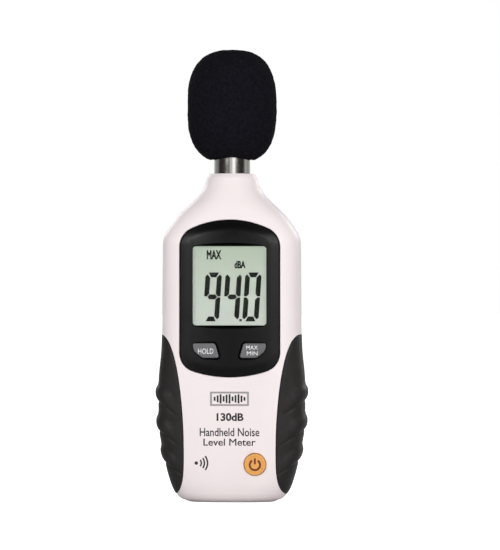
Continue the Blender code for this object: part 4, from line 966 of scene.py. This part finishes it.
def make_keys():
    def top(x, z, inset):
        return KEY_FRONT + rolled(inset, 0.35) - 0.05 * ease(inset, 0.0, 1.5)

    for name, side in (("hold", -1), ("max_min", 1)):
        rings = crowned_rings(
            lambda offset, side=side: key_outline(side, offset), KEY_BACK,
            [0, 0.02, 0.08, 0.16, 0.25, 0.35, 0.6], [0.7, 0.4, 0.15], np.array([side * 8.4, 53.3]), top,
        )
        key = skin(f"{name}_key", rings, KEY_GREY)
        flange = prism("flange", key_outline(side, 0.9), (-12.6, -11.8))
        carve(key, *plus(flange, *posts([SWITCHES[name]], 1.6, (-12.0, -10.3))))
        place(smooth(key, 34), f"{name}_key", f"{name}_button", slot="key_plastic")
    for name, words, x, z, body in (
        ("legend_hold", "HOLD", (-10.9, -5.5), (52.0, 53.9), "hold_key"),
        ("legend_max", "MAX", (5.9, 10.0), (53.5, 54.9), "max_min_key"),
        ("legend_min", "MIN", (6.1, 9.9), (51.5, 52.9), "max_min_key"),
    ):
        lettering(name, words, x, z, PRINT_WHITE, flat=KEY_FRONT - 0.06, bold=0.01, body=body)


def make_power_key():
    x, z = SWITCHES["power"]
    face = 14.95
    profile = [(0.0, face + 0.02), (1.2, face + 0.02), (2.3, face), (2.75, face - 0.02),
               (2.85, face - 0.12), (3.0, face - 0.12), (3.1, face - 0.02),
               *arc((3.4, face - 0.37), 0.35, 90, 0, 6),
               (3.75, 12.0), (4.85, 12.0), (4.85, 11.2), (1.6, 11.2), (1.6, 10.3), (0.0, 10.3)]
    key = lathe("power_key", profile, KEY_AMBER, centre=(x, 0, z), axis="-Y")
    place(key, "power_key", "power_button", slot="amber_key_plastic")
    ring = strip(arc((x, z - 0.1), 1.8, -238, 58, 40), 0.7)
    stem = [(x - 0.33, z + 0.1), (x + 0.33, z + 0.1), (x + 0.33, z + 2.2), (x - 0.33, z + 2.2)]
    symbol = plates("power_symbol", (ring, stem), PRINT_RUST, flat=-face - 0.05, thickness=0.07)
    place(symbol, "power_key")


# ---------------------------------------------------------------- microphone

BALL_RADIUS, BALL_MIDDLE = 15.65, 139.5
BALL_HALVES = ((2.6, 19.1), (3.0, -20.1))       # upper and lower: squareness of the outline, height


def make_windscreen():
    """A ball of open-cell foam, whose skin is slightly uneven."""
    profile, steps = [], 200
    for angle in np.radians(np.linspace(90, -90, 151)):
        power, rise = BALL_HALVES[math.sin(angle) < 0]
        radius = BALL_RADIUS * abs(math.cos(angle)) ** (2 / power)
        if rise < 0 and radius < SOCKET + 1.0:
            break
        profile.append((max(radius, 0.02), BALL_MIDDLE + rise * abs(math.sin(angle)) ** (2 / power)))
    low = profile[-1][1]
    profile += [(SOCKET + 0.6, low + 0.1), (SOCKET + 0.3, low + 0.45), (SOCKET + 0.1, low + 1.2),
                (SOCKET, low + 3.0)]
    skin_rings = len(profile)
    profile += [(SOCKET, h) for h in np.linspace(low + 5, 141.3, 8)] + [(0.02, 141.4)]
    turn = np.linspace(0, 2 * math.pi, steps, endpoint=False)
    rings = []
    for r, h in profile:
        saddle = 0.4 * min(max((126 - h) / 6, 0), 1)    # the mouth is higher in front and behind
        rings.append(np.stack([r * np.cos(turn), r * np.sin(turn), h - saddle * np.cos(2 * turn)], 1) * MM)
    foam = skin("foam_windscreen", rings, FOAM)
    ruffle(foam.data, ((9.0, 0.16), (2.2, 0.09), (0.8, 0.10)), skin_rings * steps)
    place(smooth(foam, 80), "foam_windscreen", "windscreen", slot="foam")


def make_neck():
    tube = [*arc((NECK - 0.3, 138.7), 0.3, 90, 0, 4), (NECK, 118.0), (NECK, 105.7), (7.7, 105.7),
            (7.7, 104.3), (NECK, 104.3), (NECK, 102.6), (5.6, 102.6), (5.6, 139.0)]
    neck = lathe("neck_barrel", tube, NECK_STEEL, steps=128, closed=True)
    place(neck, "case", "microphone_neck", slot="neck_steel")
    cap = [(0, 141.0), (4.6, 141.0), *arc((NECK - 0.5, 140.5), 0.5, 90, 0, 5), (NECK, 139.3),
           (5.3, 139.3), (5.3, 137.8), (4.5, 137.8), (4.5, 140.2), (0, 140.2)]
    grille = lathe("neck_grille", cap, NECK_STEEL)
    holes = [(0.0, 0.0), *arc((0, 0), 2.9, 0, 300, 5)]
    drills = [lathe("hole", [(0.75, 142), (0.75, 139)], steps=24, centre=(*at, 0)) for at in holes]
    carve(grille, *less(*drills))
    place(smooth(grille), "case", "microphone_grille", slot="neck_steel")


# ---------------------------------------------------------------- rear fittings

def make_screws():
    profile = [(0, 4.0), (1.0, 3.97), (1.6, 3.82), (1.92, 3.5), (2.0, 3.1), (2.0, 2.5), (1.05, 2.5),
               (1.05, -6.0), (0.3, -8.0), (0, -8.0)]
    for name, (x, z) in CASE_SCREWS.items():
        screw = lathe(f"screw_{name}", profile, STEEL, 48, (x, 0, z), "+Y")
        arms = ((1.2, 0.28), (0.28, 1.2))
        cross = [block("slot", (x - a, x + a), (3.2, 5), (z - b, z + b)) for a, b in arms]
        carve(screw, *less(*cross))
        place(smooth(screw), "case", f"case_screw_{name}", slot="fastener_steel")


def make_cells():
    can = [(0, 44.5), (1.7, 44.5), (1.88, 44.4), (1.9, 44.2), (1.9, 43.72), (4.84, 43.72), (4.84, 43.3),
           (4.75, 43.0), (4.75, 0.6), (4.75, 0.0), (0, 0.0)]
    wrap = [(4.9, 43.7), (5.12, 43.6), (5.2, 43.4), (5.2, 11.0), (4.85, 11.0), (4.85, 43.7)]
    band = [(4.8, 11.0), (5.2, 11.0), (5.2, 0.35), (5.08, 0.12), (4.85, 0.05), (4.8, 0.3)]
    for number, up in CELLS:
        node = f"battery_{number}"
        low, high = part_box(node)
        x, y = (low.x + high.x) / 2 / MM, (low.y + high.y) / 2 / MM
        bottom, sign = (low.z / MM, 1) if up else (high.z / MM, -1)
        for part, profile, look, nodes in (
            ("can", can, CELL_END, [node]), ("wrap", wrap, CELL, []), ("band", band, CELL_BAND, []),
        ):
            points = [(r, bottom + sign * h) for r, h in profile]
            piece = lathe(f"cell_{number}_{part}", points, look, 64, (x, y, 0), closed=part != "can")
            place(piece, "case", *nodes, slot="cell")


def make_springs():
    wire, turns, steps = 0.28, 3.5, 140
    for number, up in CELLS:
        low, high = (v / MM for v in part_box(f"battery_spring_{number}"))
        curve = bpy.data.curves.new(f"spring_{number}", "CURVE")
        curve.dimensions = "3D"
        curve.bevel_depth = wire * MM
        curve.bevel_resolution = 3
        curve.use_fill_caps = True
        spline = curve.splines.new("POLY")
        spline.points.add(steps)
        for i, point in enumerate(spline.points):
            share = i / steps
            radius = 3.3 - 1.3 * (share if up else 1 - share)
            angle = 2 * math.pi * turns * share
            x = (number - 2) * CELL_PITCH + radius * math.cos(angle)
            y = CELL_Y + radius * math.sin(angle)
            z = low.z + wire + (high.z - low.z - 2 * wire) * share
            point.co = (x * MM, y * MM, z * MM, 1.0)
        obj = new_object(f"contact_spring_{number}", curve, SPRING)
        place(obj, "case", f"battery_spring_{number}", slot="fastener_steel")


def dress_cad_nodes():
    """Procedural materials for the CAD nodes that stay."""
    looks = {
        HOLDER: ["lcd_holder"],
        SILICONE: ["upper_contact_strip", "lower_contact_strip"],
        BOARD: ["main_board"],
        COMPONENT: ["processor_chip", "amplifier_chip", "hold_switch", "max_min_switch", "power_switch"],
        TRIMMER: ["trimmer_body"],
        KEY_GREY: ["hold_switch_plunger", "max_min_switch_plunger", "power_switch_plunger"],
        CAN: ["crystal", "filter_capacitor", "microphone_capsule", "trimmer_rotor"],
        BOOT: ["capsule_boot"],
        WIRE_RED: ["microphone_signal_wire", "battery_positive_lead"],
        WIRE_BLACK: ["microphone_ground_wire", "battery_negative_lead"],
        SPRING: ["contact_positive_terminal", "contact_negative_terminal",
                 "contact_upper_link", "contact_lower_link"],
        STEEL: [f"board_screw_{where}" for where in ("top", "left", "right", "bottom")],
    }
    for look, nodes in looks.items():
        for node in nodes:
            materials = frame["nodes"][node].data.materials
            materials.clear()
            materials.append(look.material)


# ---------------------------------------------------------------- studio

CAMERA_AZIMUTH = math.radians(3.4)
CAMERA_DISTANCE = 1.3
AIM_HEIGHT, AIM_RIGHT = 79.46 * MM, 6.3 * MM
FRAME_WIDTH, SENSOR_WIDTH = 176 * MM, 36.0


def make_camera():
    data = bpy.data.cameras.new("camera")
    camera = new_object("camera", data)
    right = Vector((math.cos(CAMERA_AZIMUTH), math.sin(CAMERA_AZIMUTH), 0))
    back = Vector((math.sin(CAMERA_AZIMUTH), -math.cos(CAMERA_AZIMUTH), 0))
    aim = right * AIM_RIGHT + Vector((0, 0, AIM_HEIGHT))
    camera.location = aim + back * CAMERA_DISTANCE
    camera.rotation_euler = (math.radians(90), 0, CAMERA_AZIMUTH)
    data.sensor_fit = "HORIZONTAL"
    data.sensor_width = SENSOR_WIDTH
    data.lens = SENSOR_WIDTH * CAMERA_DISTANCE / FRAME_WIDTH
    data.clip_start, data.clip_end = 0.01, 50.0
    bpy.context.scene.camera = camera


def area_light(name, position, size, power, aim=(0, 0, 0.08)):
    data = bpy.data.lights.new(name, "AREA")
    data.shape = "RECTANGLE"
    data.size, data.size_y = size
    data.energy = power
    light = new_object(name, data)
    light.location = position
    light.rotation_euler = (Vector(aim) - Vector(position)).to_track_quat("-Z", "Y").to_euler()


def make_floor():
    """A matt pale floor. The camera also sees a glow from it, which keeps it white."""
    look = Look("studio_floor", (0.62, 0.62, 0.62), 0.9, Emission_Color=(1, 1, 1, 1), Specular_IOR_Level=0.1)
    look.vary(0.2, (0.60, 0.60, 0.60), 0.5)
    look.link(look.node("ShaderNodeLightPath").outputs["Is Camera Ray"], "Emission Strength")
    radius, under, steps = 6.0, -0.1 * MM, 96
    turn = np.linspace(0, 2 * math.pi, steps, endpoint=False)
    verts = np.stack([radius * np.cos(turn), radius * np.sin(turn), np.full(steps, under)], 1)
    mesh_object("studio_floor", verts, [tuple(range(steps))], look)


# What mirrors see near the horizon: world azimuth in degrees from the front, and brightness.
STUDIO_BANDS = (
    (-180, 0.55), (-150, 0.80), (-133, 0.46), (-118, 0.32), (-97, 0.27), (-87, 0.08), (-77, 0.026),
    (-56, 0.04), (-42, 0.08), (-23, 0.18), (-16, 0.16), (-11, 0.50), (-4, 0.84), (1.5, 0.60), (6, 1.2),
    (11, 1.5), (19, 1.5), (24, 0.7), (30, 0.22), (42, 0.08), (58, 0.03), (75, 0.024), (82, 0.08),
    (90, 0.24), (98, 0.52), (118, 0.38), (132, 0.38), (150, 0.62),
)


def make_world():
    """White to the camera, soft to matt surfaces, and a banded studio in reflections."""
    world = bpy.data.worlds.new("studio")
    world.use_nodes = True
    bpy.context.scene.world = world
    world.node_tree.nodes.clear()

    def add(kind, inputs=None, **settings):
        return add_node(world.node_tree, kind, inputs, **settings)

    def background(colour, strength=1.0):
        return add("ShaderNodeBackground", {"Color": colour, "Strength": strength}).outputs[0]

    path = add("ShaderNodeLightPath").outputs
    split = add("ShaderNodeSeparateXYZ", {0: add("ShaderNodeTexCoord").outputs["Generated"]}).outputs
    front = add("ShaderNodeMath", {0: split["Y"], 1: -1.0}, operation="MULTIPLY")
    azimuth = add("ShaderNodeMath", {0: split["X"], 1: front.outputs[0]}, operation="ARCTAN2")
    turn = add("ShaderNodeMapRange", {"Value": azimuth.outputs[0], "From Min": -math.pi, "From Max": math.pi})
    ramp = add("ShaderNodeValToRGB", {0: turn.outputs[0]})
    elements = ramp.color_ramp.elements
    elements[1].position = 1.0
    elements[1].color = (0.55, 0.55, 0.52, 1)
    for degrees, value in STUDIO_BANDS:
        element = elements[0] if degrees == -180 else elements.new((degrees + 180) / 360)
        warm = 0.80 if value < 0.1 else 0.95
        element.color = (value, value * (warm + 1) / 2, value * warm, 1)
    height = add("ShaderNodeMath", {0: split["Z"]}, operation="ABSOLUTE")
    away = add("ShaderNodeMapRange", {"Value": height.outputs[0], "From Min": 0.09, "From Max": 0.16})
    colours = {0: away.outputs[0], 6: ramp.outputs["Color"], 7: (0.13, 0.13, 0.135, 1)}
    bands = add("ShaderNodeMix", colours, data_type="RGBA")
    white = (1, 1, 1, 1)
    unseen = add("ShaderNodeMixShader", {
        0: path["Is Glossy Ray"], 1: background(white, 0.42), 2: background(bands.outputs[2]),
    })
    final = add("ShaderNodeMixShader", {0: path["Is Camera Ray"], 1: unseen.outputs[0], 2: background(white)})
    add("ShaderNodeOutputWorld", {"Surface": final.outputs[0]})


def make_studio():
    make_camera()
    make_floor()
    make_world()
    area_light("left_box", (-0.52, -0.94, 0.32), (0.32, 0.14), 3.9)
    area_light("right_box", (0.52, -0.94, 0.32), (0.32, 0.14), 4.1)
    area_light("left_fill", (-0.8, -0.35, 0.5), (0.4, 0.2), 0.2)
    area_light("right_fill", (0.92, -0.22, 0.46), (0.4, 0.2), 1.3)
    area_light("back_left", (-0.6, 0.95, 0.5), (0.5, 0.4), 2.6)
    area_light("back_right", (0.6, 0.95, 0.5), (0.5, 0.4), 2.6)
    view = bpy.context.scene.view_settings
    view.view_transform = "Standard"
    view.look = "None"


make_studio()
make_front_case()
make_rear_case()
make_door()
make_grips()
make_bezel()
make_window()
make_display()
make_print()
make_keys()
make_power_key()
make_windscreen()
make_neck()
make_screws()
make_cells()
make_springs()
dress_cad_nodes()

bpy.context.view_layer.update()
